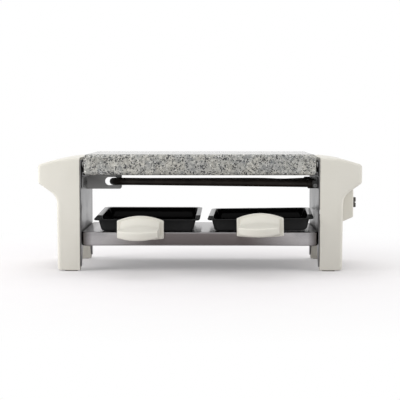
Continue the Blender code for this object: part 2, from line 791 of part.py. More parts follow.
def make_screw_seats(end, side, parent):
    """The bar under a casing's top wall and the post in each of its legs, with their screw holes."""
    rows = screw_rows()
    half_length = HALF_DEPTH - CASING_WALL - FIT_GAP
    bar_low = rows["upper"][0][1] - BAR_HEIGHT / 2
    near, far = sorted((side * CASING_INNER, side * (CASING_INNER + BAR_WIDTH)))
    bar_mesh = box_mesh((near, -half_length, bar_low), (far, half_length, bar_low + BAR_HEIGHT))
    bar = add_piece(f"{end}_screw_bar", bar_mesh, "cream_plastic", parent, smooth=False)
    seats = [(bar, rows["upper"])]
    length = LEG_WIDTH - CASING_WALL - FIT_GAP
    for row, (y, z) in zip(("front", "back"), rows["lower"]):
        start = (side * CASING_INNER, y, z)
        post_mesh = rod_mesh(start, outward(side), POST_DIAMETER, length)
        post = add_piece(f"{row}_{end}_screw_post", post_mesh, "cream_plastic", parent)
        seats.append((post, [(y, z)]))
    for seat, places in seats:
        for y, z in places:
            start = (side * (CASING_INNER - CUT_OVERRUN), y, z)
            depth = SCREW_LENGTH + CUT_OVERRUN
            combine(seat, "DIFFERENCE", rod_mesh(start, outward(side), SCREW_HOLE, depth))
        settle(seat)


def plate_corners():
    """A side plate seen from the side, following the casing's arch inside its edges."""
    edge = HALF_DEPTH - PLATE_EDGE_INSET
    spring = HALF_DEPTH - ARCH_SPRING_DEPTH
    arch_top = ARCH_HEIGHT + PLATE_EDGE_INSET
    toe = edge - PLATE_FOOT_DEPTH
    return [
        (-edge, PLATE_FOOT_HEIGHT, PLATE_TOE_ROUND),
        (-toe, PLATE_FOOT_HEIGHT, PLATE_TOE_ROUND),
        (-spring - PLATE_EDGE_INSET, arch_top, ARCH_ROUND),
        (spring + PLATE_EDGE_INSET, arch_top, ARCH_ROUND),
        (toe, PLATE_FOOT_HEIGHT, PLATE_TOE_ROUND),
        (edge, PLATE_FOOT_HEIGHT, PLATE_TOE_ROUND),
        (edge, CASING_TOP - PLATE_TOP_INSET, PLATE_TOP_ROUND),
        (-edge, CASING_TOP - PLATE_TOP_INSET, PLATE_TOP_ROUND),
    ]


def make_side_plate(name, side, parent):
    middle = side * (HALF_BAY + SIDE_PLATE_THICKNESS / 2)
    mesh = slab_mesh(rounded(plate_corners()), SIDE_PLATE_THICKNESS, "YZ", middle)
    plate = add_piece(name, mesh, "brushed_steel", parent)
    holes = [(y, z, SCREW_HOLE) for row in screw_rows().values() for y, z in row]
    if side < 0:
        holes += [(y, BRACKET_RIVET_Z, RIVET_HOLE) for y in BRACKET_RIVET_YS.values()]
    else:
        holes += [(y, TERMINAL_HEIGHT, TUBE_HOLE) for y in (-RUN_OFFSET, RUN_OFFSET)]
        holes += [(y, TERMINAL_RIVET_Z, RIVET_HOLE) for y in TERMINAL_RIVET_YS.values()]
    for y, z, diameter in holes:
        start = (side * (HALF_BAY - CUT_OVERRUN), y, z)
        depth = SIDE_PLATE_THICKNESS + 2 * CUT_OVERRUN
        combine(plate, "DIFFERENCE", rod_mesh(start, outward(side), diameter, depth))
    settle(plate)
    return plate


def screw_mesh(start, axis, length=SCREW_LENGTH, head=SCREW_HEAD_DIAMETER,
               head_height=SCREW_HEAD_HEIGHT):
    """A pan-head screw whose head's underside is at start and whose shank runs along the axis."""
    shank = SCREW_SHANK_DIAMETER / 2
    profile = [
        (0, -head_height),
        (head / 2 - head_height / 2, -head_height),
        (head / 2, -head_height / 2),
        (head / 2, 0),
        (shank, 0),
        (shank, length - shank),
        (0, length),
    ]
    return turned_mesh(start, axis, profile)


def add_screw(name, start, axis, parent, **sizes):
    """A cross-recessed screw."""
    screw = add_piece(name, screw_mesh(start, axis, **sizes), "zinc_steel", parent)
    head_height = sizes.get("head_height", SCREW_HEAD_HEIGHT)
    place = Matrix.Translation(start) @ axis_matrix(axis)
    for long_x in (True, False):
        across = SCREW_RECESS_ACROSS / 2 if long_x else SCREW_RECESS_SLOT / 2
        other = SCREW_RECESS_SLOT / 2 if long_x else SCREW_RECESS_ACROSS / 2
        low = (-across, -other, -head_height - CUT_OVERRUN)
        high = (across, other, -head_height + SCREW_RECESS_DEPTH)
        bar = box_mesh(low, high)
        bar.transform(place)
        combine(screw, "DIFFERENCE", bar)
    settle(screw)
    return screw


def add_rivet(name, start, axis, grip, parent):
    """A domed rivet through a stack of sheets, its head's underside at start, closed at its tail."""
    shank, head = RIVET_SHANK_DIAMETER / 2, RIVET_HEAD_DIAMETER / 2
    tail_head = head - RIVET_HEAD_HEIGHT / 2
    profile = [
        (0, -RIVET_HEAD_HEIGHT),
        (head * math.cos(EIGHTH_TURN), -RIVET_HEAD_HEIGHT * math.sin(EIGHTH_TURN)),
        (head, 0),
        (shank, 0),
        (shank, grip),
        (tail_head, grip),
        (tail_head, grip + RIVET_HEAD_HEIGHT / 2),
        (0, grip + RIVET_HEAD_HEIGHT),
    ]
    return add_piece(name, turned_mesh(start, axis, profile), "zinc_steel", parent)


def make_slab(parent):
    low = (-SLAB_LENGTH / 2, -SLAB_DEPTH / 2, SLAB_UNDERSIDE)
    high = (SLAB_LENGTH / 2, SLAB_DEPTH / 2, SLAB_UNDERSIDE + SLAB_THICKNESS)
    slab = add_piece("granite_slab", box_mesh(low, high), "granite", parent)
    soften(slab, SLAB_EDGE_ROUND, SLAB_EDGE_STEPS)


def make_rail(name, side, parent):
    """A folded rail on the side plate: its seat carries the slab and its lip centres it."""
    web_out = HALF_BAY - FIT_GAP
    web_in = web_out - RAIL_THICKNESS
    seat_top = SLAB_UNDERSIDE - FIT_GAP
    lip_top = SLAB_UNDERSIDE + RAIL_LIP_RISE
    seat_in = web_out - RAIL_SEAT_REACH
    lip_in = web_out - RAIL_LIP_REACH
    section = [
        (web_out, seat_top - RAIL_THICKNESS),
        (web_out, lip_top),
        (lip_in, lip_top),
        (lip_in, lip_top - RAIL_LIP_THICKNESS),
        (web_in, lip_top - RAIL_LIP_THICKNESS),
        (web_in, seat_top),
        (seat_in, seat_top),
        (seat_in, seat_top - RAIL_THICKNESS),
    ]
    outline = mirrored(section, side)
    length = SLAB_DEPTH - 2 * RAIL_END_INSET
    add_piece(name, slab_mesh(outline, length, "XZ", 0), "brushed_steel", parent)


def make_pan_tray(parent):
    half_x = HALF_BAY - FIT_GAP
    half_y = HALF_DEPTH
    bottom = TRAY_TOP - TRAY_SKIRT_HEIGHT

    def ring(inset, z):
        corner = TRAY_CORNER_RADIUS - inset
        points = rounded_rectangle(half_x - inset, half_y - inset, corner, TRAY_CORNER_STEPS)
        return [(x, y, z) for x, y in points]

    chord = TRAY_TOP_ROUND * (1 - math.cos(EIGHTH_TURN))
    rings = [
        ring(0, bottom),
        ring(0, TRAY_TOP - TRAY_TOP_ROUND),
        ring(chord, TRAY_TOP - chord),
        ring(TRAY_TOP_ROUND, TRAY_TOP),
    ]
    tray = add_piece("pan_tray", sheet_mesh(rings), "brushed_steel", parent)
    thicken(tray, TRAY_THICKNESS, inwards=True)
    settle(tray)
    for side in (-1, 1):
        for y, z in screw_rows()["lower"]:
            start = (side * (half_x - TRAY_THICKNESS - CUT_OVERRUN), y, z)
            depth = TRAY_THICKNESS + 2 * CUT_OVERRUN
            combine(tray, "DIFFERENCE", rod_mesh(start, outward(side), SCREW_HOLE, depth))
    settle(tray)


def tube_route():
    """The element's centre line: front run, U-bend that sinks towards the back, back run."""
    radius = RUN_OFFSET
    bend_x = -TUBE_BEND_END + TUBE_DIAMETER / 2 + radius
    points = [(SHEATH_END, -radius, TERMINAL_HEIGHT)]
    for k in range(TUBE_BEND_STEPS + 1):
        angle = math.radians(270 - 180 * k / TUBE_BEND_STEPS)
        y = radius * math.sin(angle)
        points.append((bend_x + radius * math.cos(angle), y, bend_height(y)))
    points.append((SHEATH_END, radius, TERMINAL_HEIGHT))
    return points


def bend_height(y):
    """The height of the U-bend's centre line, which eases from the front run to the back run."""
    share = (y + RUN_OFFSET) / TUBE_RUN_SPACING
    return TUBE_FRONT_HEIGHT - TUBE_BACK_DROP * share * share * (3 - 2 * share)


def make_element(parent):
    add_piece("heating_element", tube_mesh(tube_route(), TUBE_DIAMETER, 3), "black_tube", parent)
    collar_back = HALF_BAY - FIT_GAP - BRACKET_THICKNESS - FIT_GAP
    for name, side in (("front", -1), ("back", 1)):
        y = side * RUN_OFFSET
        profile = [
            (TUBE_HOLE / 2, 0),
            (COLLAR_DIAMETER / 2, 0),
            (COLLAR_DIAMETER / 2, COLLAR_LENGTH),
            (TUBE_HOLE / 2, COLLAR_LENGTH),
            (TUBE_HOLE / 2, 0),
        ]
        start = (collar_back - COLLAR_LENGTH, y, TERMINAL_HEIGHT)
        collar = turned_mesh(start, "X", profile)
        add_piece(f"{name}_element_collar", collar, "black_tube", parent)
        pin_start = (SHEATH_END + FIT_GAP, y, TERMINAL_HEIGHT)
        pin = rod_mesh(pin_start, "X", PIN_DIAMETER, PIN_LENGTH)
        add_piece(f"{name}_terminal_pin", pin, "zinc_steel", parent)


def make_element_bracket(parent):
    """The dark sheet that holds the U-bend: a plate across the bay, folded forward along the
    left side plate."""
    outer = -(HALF_BAY - FIT_GAP)
    inner = outer + BRACKET_REACH
    upright = [
        (outer, BRACKET_BOTTOM),
        (inner - BRACKET_CHAMFER, BRACKET_BOTTOM),
        (inner, BRACKET_BOTTOM + BRACKET_CHAMFER),
        (inner, BRACKET_TOP),
        (outer, BRACKET_TOP),
    ]
    y = -BRACKET_SETBACK
    mesh = slab_mesh(upright, BRACKET_THICKNESS, "XZ", y)
    bracket = add_piece("element_bracket", mesh, "dark_sheet", parent)
    flange_back = y + BRACKET_THICKNESS / 2
    flange_front = flange_back - BRACKET_FLANGE_LENGTH
    flange = [
        (flange_front, BRACKET_BOTTOM + BRACKET_FLANGE_RISE),
        (flange_back, BRACKET_BOTTOM),
        (flange_back, BRACKET_TOP),
        (flange_front, BRACKET_TOP),
    ]
    flange_middle = outer + BRACKET_THICKNESS / 2
    combine(bracket, "UNION", slab_mesh(flange, BRACKET_THICKNESS, "YZ", flange_middle))
    settle(bracket)
    half_slot = BRACKET_SLOT_HEIGHT / 2
    left, right = -BRACKET_SLOT_LEFT, -BRACKET_SLOT_LEFT + BRACKET_SLOT_WIDTH
    low, high = bend_height(y) - half_slot, bend_height(y) + half_slot
    corner = half_slot * NEARLY_ROUND_SHARE
    slot = [(left, low, corner), (right, low, corner), (right, high, corner), (left, high, corner)]
    cut_depth = BRACKET_THICKNESS + 2 * CUT_OVERRUN
    combine(bracket, "DIFFERENCE", slab_mesh(rounded(slot), cut_depth, "XZ", y))
    for rivet_y in BRACKET_RIVET_YS.values():
        hole_start = (outer - CUT_OVERRUN, rivet_y, BRACKET_RIVET_Z)
        combine(bracket, "DIFFERENCE", rod_mesh(hole_start, "X", RIVET_HOLE, cut_depth))
    settle(bracket)
    grip = BRACKET_THICKNESS + SIDE_PLATE_THICKNESS + 3 * FIT_GAP
    for name, rivet_y in BRACKET_RIVET_YS.items():
        head = (outer + BRACKET_THICKNESS + FIT_GAP, rivet_y, BRACKET_RIVET_Z)
        add_rivet(f"bracket_rivet_{name}", head, "-X", grip, parent)


def make_terminal_bracket(parent):
    """The dark sheet at the right end that the element's two ends pass through, with a round tab
    folded inwards at its front."""
    outer = HALF_BAY - FIT_GAP
    sheet = [
        (-TERMINAL_PLATE_FRONT, TERMINAL_TAB_BOTTOM, 0),
        (-TERMINAL_PLATE_FRONT + TERMINAL_TAB_WIDTH, TERMINAL_PLATE_BOTTOM, TERMINAL_PLATE_ROUND),
        (TERMINAL_PLATE_BACK, TERMINAL_PLATE_BOTTOM, TERMINAL_PLATE_ROUND),
        (TERMINAL_PLATE_BACK, TERMINAL_PLATE_TOP, TERMINAL_PLATE_ROUND),
        (-TERMINAL_PLATE_FRONT, TERMINAL_PLATE_TOP, 0),
    ]
    middle = outer - BRACKET_THICKNESS / 2
    mesh = slab_mesh(rounded(sheet), BRACKET_THICKNESS, "YZ", middle)
    bracket = add_piece("terminal_bracket", mesh, "dark_sheet", parent)
    tab_round = TERMINAL_TAB_WIDTH / 2 * NEARLY_ROUND_SHARE
    tab_in = outer - TERMINAL_TAB_WIDTH
    tab = [
        (tab_in, TERMINAL_TAB_BOTTOM, tab_round),
        (outer, TERMINAL_TAB_BOTTOM, tab_round),
        (outer, TERMINAL_TAB_TOP, 0),
        (tab_in, TERMINAL_TAB_TOP, 0),
    ]
    tab_y = -TERMINAL_PLATE_FRONT + BRACKET_THICKNESS / 2
    combine(bracket, "UNION", slab_mesh(rounded(tab), BRACKET_THICKNESS, "XZ", tab_y))
    settle(bracket)
    start_x = outer - BRACKET_THICKNESS - CUT_OVERRUN
    depth = BRACKET_THICKNESS + 2 * CUT_OVERRUN
    for y in (-RUN_OFFSET, RUN_OFFSET):
        hole = rod_mesh((start_x, y, TERMINAL_HEIGHT), "X", TUBE_HOLE, depth)
        combine(bracket, "DIFFERENCE", hole)
    for y in TERMINAL_RIVET_YS.values():
        hole = rod_mesh((start_x, y, TERMINAL_RIVET_Z), "X", RIVET_HOLE, depth)
        combine(bracket, "DIFFERENCE", hole)
    tab_hole_start = (outer - TERMINAL_TAB_WIDTH / 2, tab_y - CUT_OVERRUN, TAB_RIVET_Z)
    combine(bracket, "DIFFERENCE", rod_mesh(tab_hole_start, "Y", RIVET_HOLE, depth))
    settle(bracket)
    grip = BRACKET_THICKNESS + SIDE_PLATE_THICKNESS + 3 * FIT_GAP
    for name, y in TERMINAL_RIVET_YS.items():
        head = (outer - BRACKET_THICKNESS - FIT_GAP, y, TERMINAL_RIVET_Z)
        add_rivet(f"terminal_rivet_{name}", head, "X", grip, parent)
    tab_head = (outer - TERMINAL_TAB_WIDTH / 2, -TERMINAL_PLATE_FRONT - FIT_GAP, TAB_RIVET_Z)
    add_rivet("terminal_tab_rivet", tab_head, "Y", BRACKET_THICKNESS + 2 * FIT_GAP, parent)


def make_feet(parent):
    for end, side in (("left", -1), ("right", 1)):
        near = CASING_INNER + PAD_FROM_PLATE
        for row, lengthways in (("front", -1), ("back", 1)):
            outer_y = HALF_DEPTH - PAD_FROM_END
            xs = sorted((side * near, side * (near + PAD_LENGTH)))
            ys = sorted((lengthways * outer_y, lengthways * (outer_y - PAD_DEPTH)))
            low = (xs[0], ys[0], 0)
            high = (xs[1], ys[1], CASING_BOTTOM - FIT_GAP)
            foot = add_piece(f"{row}_{end}_foot", box_mesh(low, high), "black_rubber", parent)
            soften(foot, PAD_EDGE_ROUND, 1)


def make_screws(parent):
    """Screws that hold each side plate, and with it the tray, to its casing."""
    head_in = HALF_BAY - FIT_GAP
    tray_in = HALF_BAY - FIT_GAP - TRAY_THICKNESS - FIT_GAP
    for end, side in (("left", -1), ("right", 1)):
        rows = screw_rows()
        for row, (y, z) in zip(("front", "back"), rows["upper"]):
            start = (side * head_in, y, z)
            add_screw(f"{row}_{end}_plate_screw", start, outward(side), parent)
        for row, (y, z) in zip(("front", "back"), rows["lower"]):
            start = (side * tray_in, y, z)
            add_screw(f"{row}_{end}_tray_screw", start, outward(side), parent)


def pan_ring(width, depth, corner, front, z):
    middle = (0, front + depth / 2)
    points = rounded_rectangle(width / 2, depth / 2, corner, PAN_CORNER_STEPS, middle)
    return [(x, y, z) for x, y in points]


def pan_mesh():
    """The upper surface of a pan: flange, sloping wall, rounded foot of the wall, bottom."""
    wall_width = PAN_RIM_WIDTH - 2 * PAN_RIM_FLANGE
    wall_depth = PAN_RIM_DEPTH - 2 * PAN_RIM_FLANGE
    bottom_depth = PAN_RIM_DEPTH - 2 * PAN_EDGE
    low = PAN_THICKNESS
    chord = PAN_BOTTOM_ROUND * (1 - math.cos(EIGHTH_TURN))

    def foot(inset, z):
        corner = max(PAN_BOTTOM_CORNER - inset, PAN_THICKNESS)
        return pan_ring(
            PAN_BOTTOM_WIDTH - 2 * inset, bottom_depth - 2 * inset, corner, inset, z
        )

    return sheet_mesh([
        pan_ring(PAN_RIM_WIDTH, PAN_RIM_DEPTH, PAN_RIM_CORNER, -PAN_EDGE, PAN_HEIGHT),
        pan_ring(wall_width, wall_depth, PAN_BOTTOM_CORNER, -PAN_WALL_RUN, PAN_HEIGHT),
        foot(0, low + PAN_BOTTOM_ROUND),
        foot(chord, low + chord),
        foot(PAN_BOTTOM_ROUND, low),
    ])


def grip_section(share):
    """The handle body's side view at one place across it, share running from -1 to 1. Forward is
    -Y, and the section starts inside the guard."""
    spread = share * share
    nose = -GRIP_BODY_LENGTH + GRIP_BODY_BOW * spread
    x = share * GRIP_BODY_WIDTH / 2
    back = GUARD_THICKNESS / 2

    def top(distance):
        reach = min(distance / GRIP_SCOOP_LENGTH, 1)
        eased = (1 - reach) ** 2
        beyond = max(distance - GRIP_SCOOP_LENGTH, 0) / (GRIP_BODY_LENGTH - GRIP_SCOOP_LENGTH)
        slope = (GRIP_TOP_FRONT - GRIP_TOP_SCOOP) * beyond
        forward = distance / GRIP_BODY_LENGTH
        crown = (GRIP_TOP_CROWN * (1 - forward) - GRIP_LIP_RISE * forward) * spread
        return GRIP_TOP_BACK * eased - GRIP_TOP_SCOOP * (1 - eased) - slope - crown

    upper = [(x, back, top(0))]
    for k in range(1, SCOOP_STEPS + 1):
        distance = GRIP_SCOOP_LENGTH * k / SCOOP_STEPS
        upper.append((x, -distance, top(distance)))
    lip = -GRIP_TOP_FRONT + GRIP_LIP_RISE * spread
    keel = -GRIP_UNDERSIDE_FRONT + GRIP_UNDERSIDE_CROWN * spread
    section = upper + [
        (x, nose + GRIP_NOSE_ROUND, lip),
        (x, nose + GRIP_NOSE_ROUND / 3, lip - GRIP_NOSE_ROUND / 3),
        (x, nose, lip - GRIP_NOSE_ROUND),
        (x, nose, keel + GRIP_NOSE_ROUND),
        (x, nose + GRIP_NOSE_ROUND, keel),
        (x, back, -GRIP_UNDERSIDE_BACK + GRIP_UNDERSIDE_CROWN * spread),
    ]
    return section


def guard_outline():
    """The guard behind the handle body, arched along its top and bottom."""
    half = GUARD_WIDTH / 2
    points = []
    for k in range(GUARD_ARCH_STEPS + 1):
        share = -1 + 2 * k / GUARD_ARCH_STEPS
        sag = (GUARD_CROWN_BOTTOM - GUARD_END_BOTTOM) * (1 - share * share)
        points.append((share * half, -GUARD_END_BOTTOM - sag))
    for k in range(GUARD_ARCH_STEPS + 1):
        share = 1 - 2 * k / GUARD_ARCH_STEPS
        rise = (GUARD_CROWN_TOP - GUARD_END_TOP) * (1 - share * share)
        points.append((share * half, GUARD_END_TOP + rise))
    return points


def make_handle(name, frame):
    """Handle, tang and screw. The frame's zero is the rim's front edge, at the rim's top."""
    guard_back = -HANDLE_STANDOFF
    guard_middle = guard_back - GUARD_THICKNESS / 2
    guard = slab_mesh(guard_outline(), GUARD_THICKNESS, "XZ", guard_middle)
    handle = add_piece(f"{name}_pan_handle", guard, "cream_plastic", frame)
    shares = [-1 + 2 * k / GRIP_SECTIONS for k in range(GRIP_SECTIONS + 1)]
    body = loft_mesh([grip_section(share) for share in shares])
    body.transform(Matrix.Translation((0, guard_back - GUARD_THICKNESS, 0)))
    combine(handle, "UNION", body)
    settle(handle)

    tang_top = -PAN_THICKNESS - FIT_GAP
    tang_bottom = tang_top - TANG_THICKNESS
    tang_back = PAN_RIM_FLANGE - FIT_GAP - PAN_THICKNESS
    tang_front = guard_back - TANG_LENGTH
    slot = box_mesh(
        (-TANG_WIDTH / 2 - TANG_PLAY, tang_front - TANG_PLAY, tang_bottom - TANG_PLAY),
        (TANG_WIDTH / 2 + TANG_PLAY, guard_back + CUT_OVERRUN, tang_top + TANG_PLAY),
    )
    slot.transform(Matrix.Translation((0, 0, -TANG_CRANK)))
    combine(handle, "DIFFERENCE", slot)
    settle(handle)

    screw_y = guard_back - GUARD_THICKNESS - HANDLE_SCREW_FROM_GUARD
    underside = -GRIP_UNDERSIDE_BACK
    seat = underside + HANDLE_SCREW_RECESS
    recess_start = (0, screw_y, underside - CUT_OVERRUN)
    recess_depth = HANDLE_SCREW_RECESS + CUT_OVERRUN
    recess_width = HANDLE_SCREW_HEAD_DIAMETER + 2 * HOLE_PLAY
    combine(handle, "DIFFERENCE", rod_mesh(recess_start, "Z", recess_width, recess_depth))
    hole_top = tang_bottom - TANG_CRANK
    hole_start = (0, screw_y, seat - CUT_OVERRUN)
    hole_depth = hole_top - seat + 2 * CUT_OVERRUN
    combine(handle, "DIFFERENCE", rod_mesh(hole_start, "Z", SCREW_HOLE, hole_depth))
    settle(handle)

    make_tang(name, frame, tang_back, tang_front, tang_top, screw_y)
    head_seat = (0, screw_y, seat - FIT_GAP)
    length = hole_top + TANG_THICKNESS - seat + FIT_GAP + TANG_PLAY / 2
    add_screw(
        f"{name}_handle_screw", head_seat, "Z", frame, length=length,
        head=HANDLE_SCREW_HEAD_DIAMETER, head_height=HANDLE_SCREW_HEAD_HEIGHT,
    )


def make_tang(name, frame, back, front, top, screw_y):
    """The steel strip from under the rim into the handle, cranked down between the two."""
    crank_back = -HANDLE_STANDOFF * TANG_CRANK_BACK_SHARE
    crank_front = -HANDLE_STANDOFF * TANG_CRANK_FRONT_SHARE
    low = top - TANG_CRANK
    side_view = [
        (back, top - TANG_THICKNESS),
        (back, top),
        (crank_back, top),
        (crank_front, low),
        (front, low),
        (front, low - TANG_THICKNESS),
        (crank_front, low - TANG_THICKNESS),
        (crank_back, top - TANG_THICKNESS),
    ]
    mesh = slab_mesh(side_view, TANG_WIDTH, "YZ", 0)
    tang = add_piece(f"{name}_handle_tang", mesh, "zinc_steel", frame)
    hole = rod_mesh(
        (0, screw_y, low - TANG_THICKNESS - CUT_OVERRUN), "Z", SCREW_HOLE,
        TANG_THICKNESS + 2 * CUT_OVERRUN,
    )
    combine(tang, "DIFFERENCE", hole)
    settle(tang)


def make_pan(name, side, lie, parent):
    """One pan with its handle. Its frame is at the front lower edge of its bottom, where it bears
    on the tray."""
    middle = side * HALF_BAY / 2 + lie["shift"]
    raised = FIT_GAP + abs(math.tan(lie["roll"])) * PAN_BOTTOM_WIDTH / 2
    place = (middle, -PAN_RIM_FRONT + PAN_EDGE, TRAY_TOP + raised)
    frame = empty(f"{name}_pan_frame", parent, place, (lie["tip"], lie["roll"], lie["yaw"]))
    pan = add_piece(f"{name}_pan", pan_mesh(), "pan_coating", frame)
    thicken(pan, PAN_THICKNESS, inwards=True)
    rim_front = (-lie["handle_left"], -PAN_EDGE, PAN_HEIGHT - lie["handle_down"])
    turn = (lie["droop"], 0, lie["swing"])
    handle_frame = empty(f"{name}_handle_frame", frame, rim_front, turn)
    make_handle(name, handle_frame)


def housing_outline():
    """The switch housing seen from the front, on the outer face of the right casing."""
    inner = LEG_OUTER - JOIN_OVERLAP
    return [
        (inner, HOUSING_BOTTOM_INNER, 0),
        (HOUSING_OUTER, HOUSING_BOTTOM_OUTER, HOUSING_ROUND),
        (HOUSING_OUTER, HOUSING_TOP, 0),
        (inner, HOUSING_TOP, 0),
    ]


def make_switch_housing(parent):
    mesh = slab_mesh(rounded(housing_outline()), HOUSING_DEPTH, "XZ", 0)
    housing = add_piece("switch_housing", mesh, "cream_plastic", parent)
    inner = LEG_OUTER - JOIN_OVERLAP - CUT_OVERRUN
    hollow_corners = shrink(housing_outline(), HOUSING_WALL)
    hollow_corners[0] = (inner, hollow_corners[0][1], 0)
    hollow_corners[3] = (inner, HOUSING_TOP + CUT_OVERRUN, 0)
    hollow_corners[2] = (hollow_corners[2][0], HOUSING_TOP + CUT_OVERRUN, 0)
    hollow_depth = HOUSING_DEPTH - 2 * HOUSING_WALL
    combine(housing, "DIFFERENCE", slab_mesh(rounded(hollow_corners), hollow_depth, "XZ", 0))
    settle(housing)
    clear_of_casing = shrink(casing_front_corners(), -FIT_GAP)
    clear_depth = HOUSING_DEPTH + 2 * CUT_OVERRUN
    casing_room = slab_mesh(rounded(clear_of_casing), clear_depth, "XZ", 0)
    combine(housing, "DIFFERENCE", casing_room)
    settle(housing)
    half_length = SWITCH_BODY_LENGTH / 2 + HOLE_PLAY
    half_width = SWITCH_BODY_WIDTH / 2 + HOLE_PLAY
    middle = SWITCH_HEIGHT
    opening = box_mesh(
        (HOUSING_OUTER - HOUSING_WALL - CUT_OVERRUN, -half_length, middle - half_width),
        (HOUSING_OUTER + CUT_OVERRUN, half_length, middle + half_width),
    )
    combine(housing, "DIFFERENCE", opening)
    settle(housing)


def make_switch(parent):
    """The switch's fixed body, its two blade terminals and its rocker."""

    def block(back, front, length, width):
        low = (back, -length / 2, SWITCH_HEIGHT - width / 2)
        high = (front, length / 2, SWITCH_HEIGHT + width / 2)
        return box_mesh(low, high)

    bezel_back = HOUSING_OUTER + FIT_GAP
    bezel_middle = bezel_back + SWITCH_BEZEL_THICKNESS / 2
    body_back = SWITCH_FACE - SWITCH_BODY_DEPTH
    well_back = SWITCH_FACE - SWITCH_WELL_DEPTH
    bezel = block(bezel_back, SWITCH_FACE, SWITCH_BEZEL_LENGTH, SWITCH_BEZEL_WIDTH)
    body = block(body_back, bezel_middle, SWITCH_BODY_LENGTH, SWITCH_BODY_WIDTH)
    well = block(well_back, SWITCH_FACE + CUT_OVERRUN, SWITCH_WELL_LENGTH, SWITCH_WELL_WIDTH)
    switch = add_piece("switch_body", bezel, "switch_black", parent, smooth=False)
    combine(switch, "UNION", body)
    settle(switch)
    combine(switch, "DIFFERENCE", well)
    settle(switch)
    for name, side in (("live", -1), ("load", 1)):
        tab = block(SWITCH_TAB_TIP, SWITCH_TAB_BACK, SWITCH_TAB_THICKNESS, SWITCH_TAB_WIDTH)
        tab.transform(Matrix.Translation((0, side * SWITCH_TAB_SPACING / 2, 0)))
        add_piece(f"switch_{name}_terminal", tab, "zinc_steel", parent, smooth=False)

    pivot = (SWITCH_FACE - ROCKER_PIVOT_DEPTH, 0, SWITCH_HEIGHT)
    frame = empty("rocker_pivot", parent, pivot, (0, 0, ROCKER_TILT))
    half = ROCKER_LENGTH / 2
    proud = ROCKER_PIVOT_DEPTH + ROCKER_PROUD
    end_start = half * ROCKER_END_SHARE
    keel_half = half * ROCKER_KEEL_SHARE
    plan = [
        (-ROCKER_KEEL, -keel_half),
        (0, -half),
        (proud - ROCKER_DISH, -half),
        (proud, -end_start),
        (proud - ROCKER_DISH, 0),
        (proud, end_start),
        (proud - ROCKER_DISH, half),
        (0, half),
        (-ROCKER_KEEL, keel_half),
    ]
    rocker = slab_mesh(plan, ROCKER_WIDTH, "XY", 0)
    add_piece("switch_rocker", rocker, "switch_black", frame, smooth=False)


def open_casing_for_wiring(casing):
    """Holes in the right casing: behind the switch housing, and for the inlet gland."""
    middle = SWITCH_HEIGHT
    half_depth, half_height = HOUSING_WINDOW_DEPTH / 2, HOUSING_WINDOW_HEIGHT / 2
    window = box_mesh(
        (LEG_OUTER - CASING_WALL - CUT_OVERRUN, -half_depth, middle - half_height),
        (LEG_OUTER + CUT_OVERRUN, half_depth, middle + half_height),
    )
    combine(casing, "DIFFERENCE", window)
    settle(casing)
    start = (CASING_INNER + GLAND_FROM_PLATE, HALF_DEPTH - CASING_WALL - CUT_OVERRUN, GLAND_HEIGHT)
    hole = rod_mesh(start, "Y", GLAND_SHANK_DIAMETER + 2 * HOLE_PLAY, CASING_WALL + 2 * CUT_OVERRUN)
    combine(casing, "DIFFERENCE", hole)
    settle(casing)


